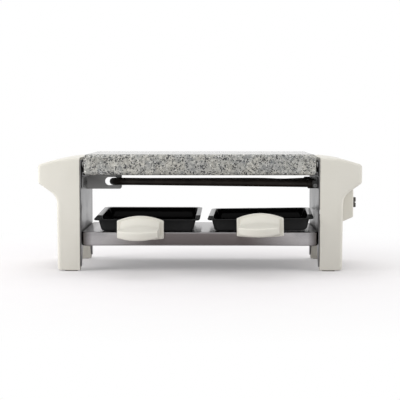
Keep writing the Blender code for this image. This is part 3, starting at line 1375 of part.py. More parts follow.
def make_wiring(parent):
    """Inlet gland, terminal block, thermal cutout and the leads between them."""
    gland_x = CASING_INNER + GLAND_FROM_PLATE
    bore, shank, flange = GLAND_BORE / 2, GLAND_SHANK_DIAMETER / 2, GLAND_FLANGE_DIAMETER / 2
    neck = GLAND_FLANGE_THICKNESS + FIT_GAP
    profile = [
        (bore, 0),
        (flange - GLAND_FLANGE_THICKNESS / 2, 0),
        (flange, GLAND_FLANGE_THICKNESS / 2),
        (flange, GLAND_FLANGE_THICKNESS),
        (shank, neck),
        (shank, GLAND_LENGTH),
        (bore, GLAND_LENGTH),
        (bore, 0),
    ]
    start = (gland_x, HALF_DEPTH + FIT_GAP + GLAND_FLANGE_THICKNESS, GLAND_HEIGHT)
    add_piece("cord_gland", turned_mesh(start, "-Y", profile), "black_rubber", parent)

    block_in = CASING_INNER + BLOCK_FROM_PLATE
    block_x = block_in + BLOCK_WIDTH / 2
    block_top = BLOCK_BASE + BLOCK_HEIGHT
    low = (block_in, -BLOCK_LENGTH / 2, BLOCK_BASE)
    high = (block_in + BLOCK_WIDTH, BLOCK_LENGTH / 2, block_top)
    block = add_piece("terminal_block", box_mesh(low, high), "ceramic_white", parent, smooth=False)
    pitch = BLOCK_LENGTH / BLOCK_POLES
    hole_floor = block_top - BLOCK_HOLE_DEPTH
    for pole in range(BLOCK_POLES):
        y = pitch * (pole - (BLOCK_POLES - 1) / 2)
        hole = rod_mesh((block_x, y, hole_floor), "Z", BLOCK_HOLE, BLOCK_HOLE_DEPTH + CUT_OVERRUN)
        combine(block, "DIFFERENCE", hole)
    settle(block)

    cutout_x = PLATE_OUTER + FIT_GAP + CUTOUT_DIAMETER / 2
    cutout_start = (cutout_x, -CUTOUT_LENGTH / 2, CUTOUT_HEIGHT)
    cutout = rod_mesh(cutout_start, "Y", CUTOUT_DIAMETER, CUTOUT_LENGTH)
    add_piece("thermal_cutout", cutout, "ceramic_white", parent)

    lead_foot = hole_floor + FIT_GAP
    tab_x = SWITCH_TAB_TIP - FIT_GAP
    tab_y = SWITCH_TAB_SPACING / 2
    cutout_end = CUTOUT_LENGTH / 2 + FIT_GAP
    pin_x = SHEATH_END + FIT_GAP + PIN_LENGTH + FIT_GAP
    rivet_x = PLATE_OUTER + FIT_GAP + RIVET_HEAD_HEIGHT + FIT_GAP
    up, out, inwards = (0, 0, 1), (1, 0, 0), (-1, 0, 0)
    front, back = (0, -1, 0), (0, 1, 0)
    on_block = {pole: (block_x, pitch * pole, lead_foot) for pole in (-1, 0, 1)}
    on_switch = {side: (tab_x, side * tab_y, SWITCH_HEIGHT) for side in (-1, 1)}
    on_cutout = {side: (cutout_x, side * cutout_end, CUTOUT_HEIGHT) for side in (-1, 1)}
    on_pin = {side: (pin_x, side * RUN_OFFSET, TERMINAL_HEIGHT) for side in (-1, 1)}
    on_rivet = (rivet_x, 0, TERMINAL_RIVET_Z)
    add_lead("live_lead", "brown_lead", on_block[-1], up, on_switch[-1], inwards, parent)
    add_lead("switched_lead", "brown_lead", on_switch[1], inwards, on_cutout[1], back, parent)
    add_lead("element_lead", "brown_lead", on_cutout[-1], front, on_pin[-1], out, parent)
    add_lead("neutral_lead", "blue_lead", on_block[1], up, on_pin[1], out, parent)
    add_lead("earth_lead", "earth_lead", on_block[0], up, on_rivet, out, parent)


def add_lead(name, finish, start, start_way, end, end_way, parent):
    """A lead that leaves each of its two terminals straight and bends over between them."""
    start, end = Vector(start), Vector(end)
    start_way, end_way = Vector(start_way), Vector(end_way)
    first = start + start_way * LEAD_DIAMETER
    last = end + end_way * LEAD_DIAMETER
    bend = interpolate_bezier(
        first, first + start_way * LEAD_BEND, last + end_way * LEAD_BEND, last, LEAD_STEPS
    )
    add_piece(name, tube_mesh([start, *bend, end], LEAD_DIAMETER, 1), finish, parent)


def centre_on_footprint(chassis):
    """Moves the chassis so that the middle of the grill's footprint is the origin."""
    bpy.context.view_layer.update()
    graph = bpy.context.evaluated_depsgraph_get()
    low = Vector((math.inf,) * 3)
    high = Vector((-math.inf,) * 3)
    for piece in PARTS.objects:
        if piece.type != "MESH":
            continue
        solid = piece.evaluated_get(graph)
        for vertex in solid.to_mesh().vertices:
            place = solid.matrix_world @ vertex.co
            low = Vector(map(min, low, place))
            high = Vector(map(max, high, place))
        solid.to_mesh_clear()
    middle = (low + high) / 2
    chassis.location = (-middle.x, -middle.y, -low.z)
    print("chassis at", [round(value, 6) for value in chassis.location])


def make_grill():
    chassis = empty("chassis")
    make_slab(chassis)
    for end, side in (("left", -1), ("right", 1)):
        casing = make_casing(f"{end}_casing", side, chassis)
        if side > 0:
            open_casing_for_wiring(casing)
        make_screw_seats(end, side, chassis)
        make_side_plate(f"{end}_side_plate", side, chassis)
        make_rail(f"{end}_slab_rail", side, chassis)
    make_pan_tray(chassis)
    make_element(chassis)
    make_element_bracket(chassis)
    make_terminal_bracket(chassis)
    make_feet(chassis)
    make_screws(chassis)
    make_pan("left", -1, LEFT_PAN, chassis)
    make_pan("right", 1, RIGHT_PAN, chassis)
    make_switch_housing(chassis)
    make_switch(chassis)
    make_wiring(chassis)
    centre_on_footprint(chassis)


make_grill()
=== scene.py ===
"""The looks of a two-pan raclette grill: finishes, fine shapes, light and camera.

Lengths are in metres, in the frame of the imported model: +X runs right along the slab, +Y runs away
from the user, +Z is up, and the grill stands on Z = 0. Shapes are drawn round the middle of the
casings' depth, which lies at MID_Y.
"""

import math

import bmesh
import bpy
from mathutils import Matrix, Vector


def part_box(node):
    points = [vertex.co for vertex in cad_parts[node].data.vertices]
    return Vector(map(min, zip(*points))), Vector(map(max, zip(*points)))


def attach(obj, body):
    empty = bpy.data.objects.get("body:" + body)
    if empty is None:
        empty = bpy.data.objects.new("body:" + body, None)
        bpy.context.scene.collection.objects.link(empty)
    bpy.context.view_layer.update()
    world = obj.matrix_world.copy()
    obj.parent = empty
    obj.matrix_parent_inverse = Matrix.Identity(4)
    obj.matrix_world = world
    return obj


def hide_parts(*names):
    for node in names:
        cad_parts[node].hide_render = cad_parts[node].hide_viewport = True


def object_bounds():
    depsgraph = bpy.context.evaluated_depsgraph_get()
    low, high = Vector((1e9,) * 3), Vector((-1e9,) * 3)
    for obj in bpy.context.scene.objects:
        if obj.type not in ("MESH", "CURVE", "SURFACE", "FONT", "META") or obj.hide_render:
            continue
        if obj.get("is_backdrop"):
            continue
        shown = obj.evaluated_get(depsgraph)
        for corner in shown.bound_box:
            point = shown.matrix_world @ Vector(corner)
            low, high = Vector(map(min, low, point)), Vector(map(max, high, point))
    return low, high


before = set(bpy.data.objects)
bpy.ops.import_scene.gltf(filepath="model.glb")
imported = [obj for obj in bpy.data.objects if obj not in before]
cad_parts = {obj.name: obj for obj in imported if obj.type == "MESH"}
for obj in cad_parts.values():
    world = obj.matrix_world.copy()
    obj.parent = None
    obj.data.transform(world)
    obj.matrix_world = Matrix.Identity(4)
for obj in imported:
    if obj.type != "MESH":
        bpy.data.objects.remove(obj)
CAD_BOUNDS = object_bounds()

SLAB_LOW, SLAB_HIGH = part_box("granite_slab")
TRAY_LOW, TRAY_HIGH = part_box("pan_tray")
CASING_LOW, CASING_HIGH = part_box("right_casing")
PLATE_LOW, PLATE_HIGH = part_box("right_side_plate")
MID_Y = (SLAB_LOW.y + SLAB_HIGH.y) / 2
HALF_DEPTH = (CASING_HIGH.y - CASING_LOW.y) / 2
HALF_BAY = PLATE_LOW.x
PLATE_THICKNESS = PLATE_HIGH.x - PLATE_LOW.x
CASING_INNER = CASING_LOW.x
FIT_GAP = CASING_INNER - PLATE_HIGH.x
HOLE_PLAY = 0.0003
OVERRUN = 0.002
WELD_DISTANCE = 0.00001
FLAT_ANGLE = math.radians(0.3)
SHEET_EDGE_ROUND = 0.00012
ROUND_END_SHARE = 0.98  # of half a width, so that the roundings of an end don't meet
ALONG_X = (1, 0, 0)
ALONG_Y = (0, 1, 0)

# End casings
LEG_WIDTH = 0.0195
LEG_DRAFT = 0.0005
LEG_TOE_RADIUS = 0.005
GRIP_ROOT_HEIGHT = 0.0646
GRIP_ROOT_RADIUS = 0.012
GRIP_UNDERSIDE_HEIGHT = 0.0759
GRIP_SHOULDER_HEIGHT = 0.0916
GRIP_EDGE_RADIUS = 0.0034
CROWN_RADIUS = 0.098
CROWN_START = 0.0176
CASING_WALL = 0.0024
CASING_EDGE_ROUND = 0.0027
CASING_CROWN = 0.0030  # the front and back faces curve away by this much at the grip's tip
CROWN_STRIPS = 14
TOE_TIGHTNESS = 0.2
TOE_HEIGHT = 0.0005  # the legs end this high, round the pads
FOOT_DEPTH = 0.009
ARCH_HEIGHT = 0.027
ARCH_SPRING_DEPTH = 0.023
ARCH_ROUND = 0.008
LEG_OUTER = CASING_INNER + LEG_WIDTH
GLAND_SHANK_RADIUS = 0.0041

# Foot pads
PAD_CORNER_RADIUS = 0.0009
PAD_EDGE_ROUND = 0.0001
PAD_CLEARANCE = 0.0001
PAD_THICKNESS = TOE_HEIGHT - PAD_CLEARANCE

# Side plates
PLATE_EDGE_INSET = 0.0015
PLATE_TOP_INSET = 0.0022
PLATE_TOP_ROUND = 0.004
PLATE_FOOT_HEIGHT = 0.0035
PLATE_FOOT_DEPTH = 0.0045
PLATE_TOE_ROUND = 0.0015
PLATE_EDGE_ROUND = 0.00016

# Slab rails
RAIL_THICKNESS = 0.0008
RAIL_SEAT_REACH = 0.0066
RAIL_LIP_REACH = 0.0017
RAIL_LIP_THICKNESS = 0.0011
RAIL_FOLD = 0.0004

# Slab
SLAB_EDGE_ROUND = 0.0032

# Tray
TRAY_THICKNESS = 0.0008
TRAY_CORNER_RADIUS = 0.0045
TRAY_TOP_ROUND = 0.0012
TRAY_HEM = 0.0011
HEM_END_INSET = TRAY_HEM * 1.9
HEM_END_RISE = TRAY_HEM * 0.15

# Element
TUBE_DIAMETER = 0.0065
TUBE_BORE = TUBE_DIAMETER / 2 + HOLE_PLAY
TUBE_RUN_SPACING = 0.042
TUBE_BEND_END = 0.0818
BACK_RUN_SAG = 0.0007
SAG_SHARE = 0.82  # of the back run, from the bend to its end
SAG_SPREAD_SHARE = 0.08
FRONT_RUN_STEPS = 12
BEND_STEPS = 24
COLLAR_LENGTH = 0.0060
COLLAR_DIAMETER = 0.0084
COLLAR_EDGE = 0.0006
COLLAR_EDGE_BULGE = COLLAR_EDGE * 0.3

# Brackets
BRACKET_THICKNESS = 0.0009
BRACKET_CHAMFER = 0.0014
BRACKET_CHAMFER_ROUND = 0.0004
BRACKET_CORNER_ROUND = 0.0005
BRACKET_FLANGE_RISE = 0.0022
BRACKET_SLOT_LEFT = 0.0851
BRACKET_SLOT_WIDTH = 0.0122
BRACKET_SLOT_HEIGHT = 0.0072
BRACKET_SLOT_MIDDLE = 0.07565
TERMINAL_CORNER_RADIUS = 0.003
TERMINAL_TAB_WIDTH = 0.0048
TERMINAL_TAB_LENGTH = 0.0067
TERMINAL_TAB_RISE = 0.0033
TERMINAL_HEIGHT = 0.0742
BORE_LENGTH = 0.02
RIVET_BORE = 0.0015
RIVET_BORE_STEPS = 20
RING_RIVET_RADIUS = 0.0017
RING_RIVET_HOLLOW = 0.0007
RING_RIVET_DEPTH = 0.0014
RING_RIVET_HEAD = 0.0009
RING_RIVET_SHANK = 0.0012
RING_RIVET_EDGE = 0.0002

# Pans
PAN_RIM_WIDTH = 0.0915
PAN_RIM_DEPTH = 0.0964
PAN_RIM_FLANGE = 0.0044
PAN_RIM_CORNER = 0.0065
PAN_RIM_EDGE = 0.0002
PAN_BOTTOM_WIDTH = 0.0793
PAN_BOTTOM_CORNER = 0.0052
PAN_HEIGHT = 0.0110
PAN_BOTTOM_ROUND = 0.0026
PAN_THICKNESS = 0.0008
PAN_RIM_FRONT = 0.055
PAN_RIM_SHOULDER = 0.0009
PAN_SHOULDER_TURN = 70
PAN_EDGE = (PAN_RIM_WIDTH - PAN_BOTTOM_WIDTH) / 2

LEFT_PAN = {
    "middle": -0.0456,
    "tip": math.radians(2.4),
    "roll": 0.0,
    "yaw": math.radians(-1.0),
    "handle_left": 0.0044,
    "handle_down": 0.0014,
    "droop": math.radians(-0.6),
    "swing": math.radians(-0.5),
}
RIGHT_PAN = {
    "middle": 0.0525,
    "tip": math.radians(1.5),
    "roll": math.radians(-0.9),
    "yaw": math.radians(-2.3),
    "handle_left": 0.0,
    "handle_down": 0.0,
    "droop": math.radians(-1.3),
    "swing": math.radians(-2.2),
}

# Pan handles
HANDLE_STANDOFF = 0.0062
GUARD_WIDTH = 0.0398
GUARD_THICKNESS = 0.0026
GUARD_END_TOP = 0.0014
GUARD_CROWN_TOP = 0.0056
GUARD_END_BOTTOM = 0.0138
GUARD_CROWN_BOTTOM = 0.0150
GUARD_EDGE_ROUND = 0.0007
GUARD_STEPS = 24
HANDLE_WIDTH = 0.0332
HANDLE_LENGTH = 0.0330
HANDLE_BOW = 0.0036
HANDLE_TOP_BACK = 0.0046
HANDLE_TOP_SCOOP = 0.0022
HANDLE_SCOOP_LENGTH = 0.0105
HANDLE_TOP_FRONT = 0.0043
HANDLE_UNDERSIDE_BACK = 0.0144
HANDLE_UNDERSIDE_FRONT = 0.0116
HANDLE_TOP_CROWN = 0.0034
HANDLE_LIP_RISE = 0.0006
HANDLE_UNDERSIDE_CROWN = 0.0022
HANDLE_NOSE_ROUND = 0.0016
HANDLE_EDGE_ROUND = 0.0009
HANDLE_STEPS = 26
TANG_WIDTH = 0.0120
TANG_THICKNESS = 0.0010
TANG_LENGTH = 0.0300
TANG_CRANK = 0.0042
TANG_CRANK_ROUND = 0.0008
TANG_EDGE_ROUND = 0.00015

# Switch
HOUSING_DEPTH = 0.040
HOUSING_REACH = 0.0126
HOUSING_SINK = 0.0005
HOUSING_BOTTOM_INNER = 0.0388
HOUSING_BOTTOM_OUTER = 0.0446
HOUSING_TOP = 0.0777
HOUSING_WALL = 0.0018
HOUSING_ROUND = 0.0018
HOUSING_EDGE_ROUND = 0.0011
WINDOW_HALF_LENGTH = 0.0078
WINDOW_HALF_WIDTH = 0.0058
SWITCH_HEIGHT = 0.0567
ROCKER_HALF_LENGTH = 0.0061
ROCKER_WIDTH = 0.0090
ROCKER_RISE = 0.0046
ROCKER_DISH = 0.0007
ROCKER_DISH_SHARE = 0.86
ROCKER_DISH_STEPS = 10
ROCKER_KEEL = 0.0030
ROCKER_CORNER_RADIUS = 0.0009
ROCKER_EDGE_ROUND = 0.0006
ROCKER_GROOVE_DEPTH = 0.0012
ROCKER_GROOVE_HALF = 0.0005
ROCKER_SETBACK = 0.0014
ROCKER_TILT = math.radians(6)

# Studio
FLOOR_HALF = 6
FLOOR_FADE_START = 0.15
FLOOR_FADE_END = 0.36
FLOOR_LIFT = 0.205
WORLD_LEVEL = 0.70
REFLECTED_LEVEL = 0.92
FRONT_LEVEL = 0.50
FRONT_FADE = (-0.35, -0.80)
HEIGHT_FADE = (0.10, 0.50)
CARD_HALF_WIDTH = 0.095
CARD_FADE_START = 0.045
CARD_LOW = 0.001
CARD_TOP = 0.09
CARD_NEAR = 0.03
CARD_FAR = 0.2
LAMP_AIM = (0, MID_Y, 0.05)
LAMPS = {  # where each stands, seen from the middle of the grill, its size and its power
    "top_softbox": ((0, 0.7, 1.4), (1.4, 1.2), 8.4),
    "front_softbox": ((0, -1.9, 0.35), (0.7, 0.5), 2.4),
    "left_softbox": ((-1.3, -0.38, 0.45), (0.8, 0.8), 14.5),
    "right_softbox": ((1.3, -0.34, 0.45), (0.8, 0.8), 5.5),
}

# Camera
CAMERA_DISTANCE = 1.0
CAMERA_ACROSS = 0.0114
CAMERA_HEIGHT = 0.130
AIM_ACROSS = 0.00025
AIM_HEIGHT = 0.0616
FOCAL_PIXELS = 1166
FRAME_PIXELS = 400
SENSOR_WIDTH = 36


def added(name, data):
    """A new object in the scene."""
    made = bpy.data.objects.new(name, data)
    bpy.context.scene.collection.objects.link(made)
    return made


def reworked(mesh, change):
    """The mesh after a bmesh function has changed it."""
    work = bmesh.new()
    work.from_mesh(mesh)
    change(work)
    work.to_mesh(mesh)
    work.free()
    return mesh


def cleaned(mesh, flatten=False):
    """Welds a mesh's doubled points, joins its flat areas where asked, and turns its faces
    outwards."""

    def change(work):
        bmesh.ops.remove_doubles(work, verts=work.verts, dist=WELD_DISTANCE)
        if flatten:
            bmesh.ops.dissolve_limit(
                work, angle_limit=FLAT_ANGLE, verts=work.verts, edges=work.edges
            )
        bmesh.ops.recalc_face_normals(work, faces=work.faces)

    return reworked(mesh, change)


def solid_from(build):
    """The mesh that a bmesh function fills in, with its faces turned outwards."""
    return cleaned(reworked(bpy.data.meshes.new("shape"), build))


def box_mesh(low, high):
    low, high = Vector(low), Vector(high)
    place = Matrix.Translation((low + high) / 2) @ Matrix.Diagonal((*(high - low), 1))
    return solid_from(lambda work: bmesh.ops.create_cube(work, size=1, matrix=place))


def loft_mesh(rings, *filled):
    """A body through a row of rings of points. filled gives the numbers of the rings that are
    filled in, where -1 is the last."""

    def build(work):
        rows = [[work.verts.new(point) for point in ring] for ring in rings]
        for lower, upper in zip(rows, rows[1:]):
            for i in range(len(lower)):
                j = (i + 1) % len(lower)
                work.faces.new((lower[i], lower[j], upper[j], upper[i]))
        for number in filled:
            work.faces.new(rows[number])

    return solid_from(build)


def prism_mesh(outline, thickness, plane, middle=0):
    """A flat outline given thickness. plane names what the outline's two numbers are, and middle is
    where the prism's middle lies along the third direction."""
    places = {
        "XY": lambda across, up, far: (across, up, far),
        "XZ": lambda across, up, far: (across, far, up),
        "YZ": lambda across, up, far: (far, across, up),
    }
    place = places[plane]
    rings = []
    for far in (middle - thickness / 2, middle + thickness / 2):
        rings.append([place(across, up, far) for across, up in outline])
    return loft_mesh(rings, 0, -1)


def turned_mesh(start, axis, profile, steps=40):
    """A turned shape: profile is (radius, distance along the axis), and may be a closed section."""
    turn = Vector((0, 0, 1)).rotation_difference(Vector(axis)).to_matrix().to_4x4()
    place = Matrix.Translation(start) @ turn
    angles = [math.tau * k / steps for k in range(steps)]
    rings = []
    for radius, distance in profile:
        ring = [Vector((radius * math.cos(a), radius * math.sin(a), distance)) for a in angles]
        rings.append([place @ point for point in ring])
    return loft_mesh(rings)


def rod_mesh(start, axis, radius, length, steps=40):
    return turned_mesh(start, axis, [(0, 0), (radius, 0), (radius, length), (0, length)], steps)


def shaped(data, kind=None, **settings):
    """The mesh that a mesh or a curve gives, with a modifier where kind names one."""
    blank = added("blank", data)
    if kind:
        change = blank.modifiers.new("change", kind)
        for key, value in settings.items():
            setattr(change, key, value)
    bpy.context.view_layer.update()
    graph = bpy.context.evaluated_depsgraph_get()
    mesh = bpy.data.meshes.new_from_object(blank.evaluated_get(graph))
    bpy.data.objects.remove(blank)
    return mesh


def cut(mesh, *tools, operation="DIFFERENCE"):
    """Cuts meshes from a mesh one after another, or joins them on."""
    for tool in tools:
        cutter = added("cutter", tool)
        mesh = shaped(mesh, "BOOLEAN", operation=operation, solver="EXACT", object=cutter)
        mesh = cleaned(mesh, flatten=True)
        bpy.data.objects.remove(cutter)
    return mesh


def join(mesh, tool):
    return cut(mesh, tool, operation="UNION")


def bevelled(mesh, width, steps, angle=32):
    """The mesh with its sharp edges rounded."""
    return shaped(
        mesh, "BEVEL", width=width, segments=steps, limit_method="ANGLE",
        angle_limit=math.radians(angle), miter_outer="MITER_ARC",
    )


def solidified(mesh, thickness):
    """An open surface given a thickness on its inner side."""
    return shaped(mesh, "SOLIDIFY", thickness=thickness, offset=-1, use_even_offset=True)


def show(name, mesh, slot, nodes, body="chassis", material=None, smooth_angle=38, place=None):
    """Puts a finished piece in the scene in place of the CAD nodes that it stands for. It has the
    finish of its slot, unless material names another."""
    if place is not None:
        mesh.transform(place)
    mesh.transform(Matrix.Translation((0, MID_Y, 0)))
    mesh.name = name
    mesh.materials.clear()
    mesh.materials.append(material or SLOT_FINISHES[slot])
    mesh.shade_smooth()
    mesh.set_sharp_from_angle(angle=math.radians(smooth_angle))
    piece = added(name, mesh)
    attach(piece, body)
    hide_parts(*nodes)


def turns(corners):
    """Each corner of an outline, its place, and the directions of the sides before and after."""
    count = len(corners)
    for i, corner in enumerate(corners):
        here = Vector(corner[:2])
        before = (here - Vector(corners[i - 1][:2])).normalized()
        after = (Vector(corners[(i + 1) % count][:2]) - here).normalized()
        yield corner, here, before, after


def rounded(corners, step=6):
    """The points of a counter-clockwise outline of (across, up, radius) corners, one for each step
    in degrees that a rounding turns."""
    points = []
    for (across, up, radius), here, before, after in turns(corners):
        if radius <= 0:
            points.append((across, up))
            continue
        turn = math.atan2(before.cross(after), before.dot(after))
        side = math.copysign(1, turn)
        start = here - before * radius * math.tan(abs(turn) / 2)
        centre = start + Vector((-before.y, before.x)) * side * radius
        steps = max(2, math.ceil(abs(turn) / math.radians(step)))
        for k in range(steps + 1):
            spoke = start - centre
            spoke.rotate(Matrix.Rotation(turn * k / steps, 2))
            points.append(tuple(centre + spoke))
    return points


def shrink(corners, distance):
    """Moves each side of a counter-clockwise outline of corners inwards."""
    moved = []
    for (_, _, radius), here, before, after in turns(corners):
        inward_before = Vector((-before.y, before.x))
        inward_after = Vector((-after.y, after.x))
        halfway = (inward_before + inward_after).normalized()
        place = here + halfway * distance / halfway.dot(inward_after)
        convex = before.cross(after) > 0
        kept = max(radius - distance, 0) if convex else radius + distance
        moved.append((place.x, place.y, kept))
    return moved


def flipped(outline, side):
    """The outline for the right end (side 1), or mirrored for the left end (side -1)."""
    if side > 0:
        return outline
    return [(-across, up) for across, up in reversed(outline)]


def rounded_rectangle(half_x, half_y, radius, steps, middle=(0, 0)):
    points = []
    for turn, (sx, sy) in enumerate(((-1, -1), (1, -1), (1, 1), (-1, 1))):
        centre = (middle[0] + sx * (half_x - radius), middle[1] + sy * (half_y - radius))
        for k in range(steps + 1):
            angle = math.radians(180 + 90 * turn + 90 * k / steps)
            points.append(
                (centre[0] + radius * math.cos(angle), centre[1] + radius * math.sin(angle))
            )
    return points


def arc(steps, turn=90):
    """The sines and cosines of the steps of a turn in degrees."""
    angles = [math.radians(turn * k / steps) for k in range(steps + 1)]
    return [(math.sin(angle), math.cos(angle)) for angle in angles]


class Nodes:
    """A node tree under construction, with short calls for the nodes it needs."""

    def __init__(self, tree):
        self.tree = tree

    def node(self, kind, **settings):
        made = self.tree.nodes.new(kind)
        for key, value in settings.items():
            setattr(made, key, value)
        return made

    def feed(self, socket, value):
        if isinstance(value, bpy.types.NodeSocket):
            self.tree.links.new(value, socket)
        elif isinstance(value, tuple) and len(value) == 3 and socket.type == "RGBA":
            socket.default_value = (*value, 1)
        else:
            socket.default_value = value

    def fed(self, kind, inputs, output, **settings):
        """The output of a new node whose inputs are fed by name or number."""
        made = self.node(kind, **settings)
        for key, value in inputs.items():
            self.feed(made.inputs[key], value)
        return made.outputs[output]

    def mix(self, factor, first, second, kind="RGBA"):
        inputs = {"Factor": factor, "A": first, "B": second}
        return self.fed("ShaderNodeMix", inputs, "Result", data_type=kind)

    def math(self, operation, first, second=0.0):
        return self.fed("ShaderNodeMath", {0: first, 1: second}, 0, operation=operation)

    def span(self, value, low, high, from_low=0.0, from_high=1.0, curve="LINEAR"):
        inputs = {
            "Value": value, "From Min": from_low, "From Max": from_high, "To Min": low,
            "To Max": high,
        }
        return self.fed("ShaderNodeMapRange", inputs, "Result", interpolation_type=curve)


class Finish(Nodes):
    """A material's nodes."""

    def __init__(self, name):
        self.material = bpy.data.materials.new(name)
        self.material.use_nodes = True
        super().__init__(self.material.node_tree)
        self.shader = self.tree.nodes["Principled BSDF"]
        self.shader.inputs["Base Color"].default_value = (0.5, 0.5, 0.5, 1)
        self.place = self.node("ShaderNodeTexCoord").outputs["Object"]

    def stretched(self, scale):
        return self.fed("ShaderNodeMapping", {"Vector": self.place, "Scale": scale}, "Vector")

    def along(self, axis):
        return self.fed("ShaderNodeSeparateXYZ", {0: self.place}, axis)

    def noise(self, scale, detail, roughness, vector=None, output="Fac"):
        inputs = {
            "Vector": vector or self.place, "Scale": scale, "Detail": detail,
            "Roughness": roughness,
        }
        return self.fed("ShaderNodeTexNoise", inputs, output)

    def cells(self, scale, vector=None):
        inputs = {"Vector": vector or self.place, "Scale": scale}
        return self.fed("ShaderNodeTexVoronoi", inputs, "Color")

    def ramp(self, value, positions, *colours):
        made = self.node("ShaderNodeValToRGB")
        elements = made.color_ramp.elements
        while len(elements) < len(positions):
            elements.new(0.5)
        for element, position, colour in zip(elements, positions, colours):
            element.position = position
            element.color = (*colour, 1)
        self.feed(made.inputs["Fac"], value)
        return made.outputs["Color"]

    def bump(self, height, distance, strength):
        inputs = {"Height": height, "Distance": distance, "Strength": strength}
        return self.fed("ShaderNodeBump", inputs, "Normal")

    def set(self, **inputs):
        for key, value in inputs.items():
            self.feed(self.shader.inputs[key.replace("_", " ")], value)
        return self.material


def granite_finish():
    """Light grey granite: pale and beige feldspar patches, grey quartz and dense black mica."""
    f = Finish("granite_look")
    ground = f.ramp(
        f.noise(120, 2, 0.5), (0.34, 0.50, 0.64),
        (0.25, 0.26, 0.26), (0.35, 0.35, 0.32), (0.43, 0.415, 0.36),
    )
    tint = f.ramp(
        f.cells(520), (0.10, 0.40, 0.85),
        (0.12, 0.13, 0.14), (0.29, 0.29, 0.275), (0.56, 0.55, 0.515),
    )
    ground = f.mix(0.55, ground, tint)
    warp = f.noise(420, 2, 0.6)
    crowd = f.noise(170, 2, 0.5)
    bend = 0.0011
    bent = f.fed(
        "ShaderNodeVectorMath",
        {0: f.noise(900, 2, 0.5, output="Color"), 1: (bend, bend, bend), 2: f.place},
        "Vector", operation="MULTIPLY_ADD",
    )
    threshold = f.span(crowd, 0.14, 0.50, 0.30, 0.70)
    dark = f.span(f.math("SUBTRACT", threshold, f.cells(1000, bent)), 0.0, 1.0, 0.0, 0.04)
    mica = f.mix(warp, (0.010, 0.010, 0.012), (0.110, 0.110, 0.112))
    colour = f.mix(dark, ground, mica)
    glint = f.span(f.noise(900, 1, 0.4), 0.0, 1.0, 0.66, 0.72)
    return f.set(
        Base_Color=f.mix(glint, colour, (0.80, 0.80, 0.78)), Roughness=f.span(warp, 0.05, 0.16),
        Normal=f.bump(f.noise(700, 3, 0.6), 0.00003, 0.25),
    )


def plastic_finish():
    """Off-white moulded plastic with a fine satin grain."""
    f = Finish("cream_plastic_look")
    return f.set(
        Base_Color=f.ramp(
            f.noise(28, 3, 0.5), (0.3, 0.7), (0.655, 0.635, 0.570), (0.690, 0.670, 0.610)
        ),
        Roughness=f.span(f.noise(160, 4, 0.6), 0.36, 0.50),
        Normal=f.bump(f.noise(2600, 2, 0.5), 0.00003, 0.35), Specular_IOR_Level=0.45,
    )


def brushed_finish(
    name, stretch, dark, light, roughness=(0.22, 0.38), anisotropy=0.5, edge=0.78, painted_shade_ends=None
):
    """Brushed stainless sheet. stretch squeezes the noise into lines along one axis, reflections
    smear across X, edge dulls those at a flat angle, and the last argument gives the distances from
    the middle between which painted shade darkens the sheet towards its ends."""
    f = Finish(name)
    lines = f.noise(1, 4, 0.65, vector=f.stretched(stretch))
    shade = f.ramp(lines, (0.25, 0.75), dark, light)
    broad = f.span(f.noise(18, 2, 0.5), 0.0, 0.35)
    colour = f.mix(broad, shade, tuple(c * 0.82 for c in dark))
    # Painted shade: the sheet's colour darkens towards its ends, standing in for the shade at the
    # tray's corners.
    if painted_shade_ends:
        reach = f.math("ABSOLUTE", f.along("X"))
        colour = f.mix(f.span(reach, 0.0, 0.85, *painted_shade_ends), colour, (0.060, 0.050, 0.045))
    around = f.node("ShaderNodeTangent", direction_type="RADIAL", axis="X")
    return f.set(
        Base_Color=colour, Metallic=1.0, Roughness=f.span(lines, *roughness),
        Normal=f.bump(lines, 0.00002, 0.30), Tangent=around.outputs["Tangent"],
        Anisotropic=anisotropy, Specular_Tint=(edge, edge, edge),
    )


def tube_finish():
    """The element's sheath, blackened by heat with brownish patches."""
    f = Finish("black_tube_look")
    patches = f.noise(110, 4, 0.6)
    return f.set(
        Base_Color=f.ramp(patches, (0.35, 0.70), (0.014, 0.010, 0.008), (0.030, 0.022, 0.017)),
        Metallic=0.25, Roughness=f.span(patches, 0.38, 0.60),
        Normal=f.bump(f.noise(1400, 3, 0.6), 0.00003, 0.5),
    )


def dark_sheet_finish(name, dark, light):
    """Dark heat-proof sheet with a fine grain."""
    f = Finish(name)
    cloud = f.noise(60, 3, 0.5)
    return f.set(
        Base_Color=f.ramp(cloud, (0.3, 0.7), (dark, dark, dark), (light, light, light)),
        Metallic=0.4, Roughness=f.span(cloud, 0.42, 0.55),
        Normal=f.bump(f.noise(1800, 2, 0.6), 0.00003, 0.4),
    )


def coating_finish():
    """Black non-stick coating, deep black inside, worn dull on the front wall, and greyer there as a
    painted reflection.
    """
    f = Finish("pan_coating_look")
    cloud = f.noise(45, 3, 0.5)
    depth = f.along("Y")
    inside = f.ramp(cloud, (0.3, 0.7), (0.0020, 0.0018, 0.0018), (0.0040, 0.0036, 0.0036))
    # Painted reflection: a greyer copy of the coating for the front wall, in place of the reflection
    # that the low specular level leaves out.
    front = f.ramp(cloud, (0.3, 0.7), (0.0170, 0.0175, 0.0178), (0.0220, 0.0226, 0.0230))
    painted_reflection_front_wall = f.span(depth, 0.0, 1.0, 0.0020, 0.0005)
    front_rim = f.span(depth, 0.0, 0.6, 0.0015, -0.0040)
    return f.set(
        Base_Color=f.mix(painted_reflection_front_wall, inside, front),
        Roughness=f.math("ADD", f.span(cloud, 0.07, 0.13), front_rim),
        Normal=f.bump(f.noise(900, 2, 0.5), 0.00003, 0.3), Specular_IOR_Level=0.09,
    )


def zinc_finish():
    """Bright zinc plate with slight clouding."""
    f = Finish("zinc_look")
    cloud = f.noise(300, 3, 0.6)
    return f.set(
        Base_Color=f.ramp(cloud, (0.3, 0.7), (0.42, 0.42, 0.41), (0.60, 0.60, 0.59)),
        Metallic=1.0, Roughness=f.span(cloud, 0.26, 0.42), Normal=f.bump(cloud, 0.00002, 0.3),
    )


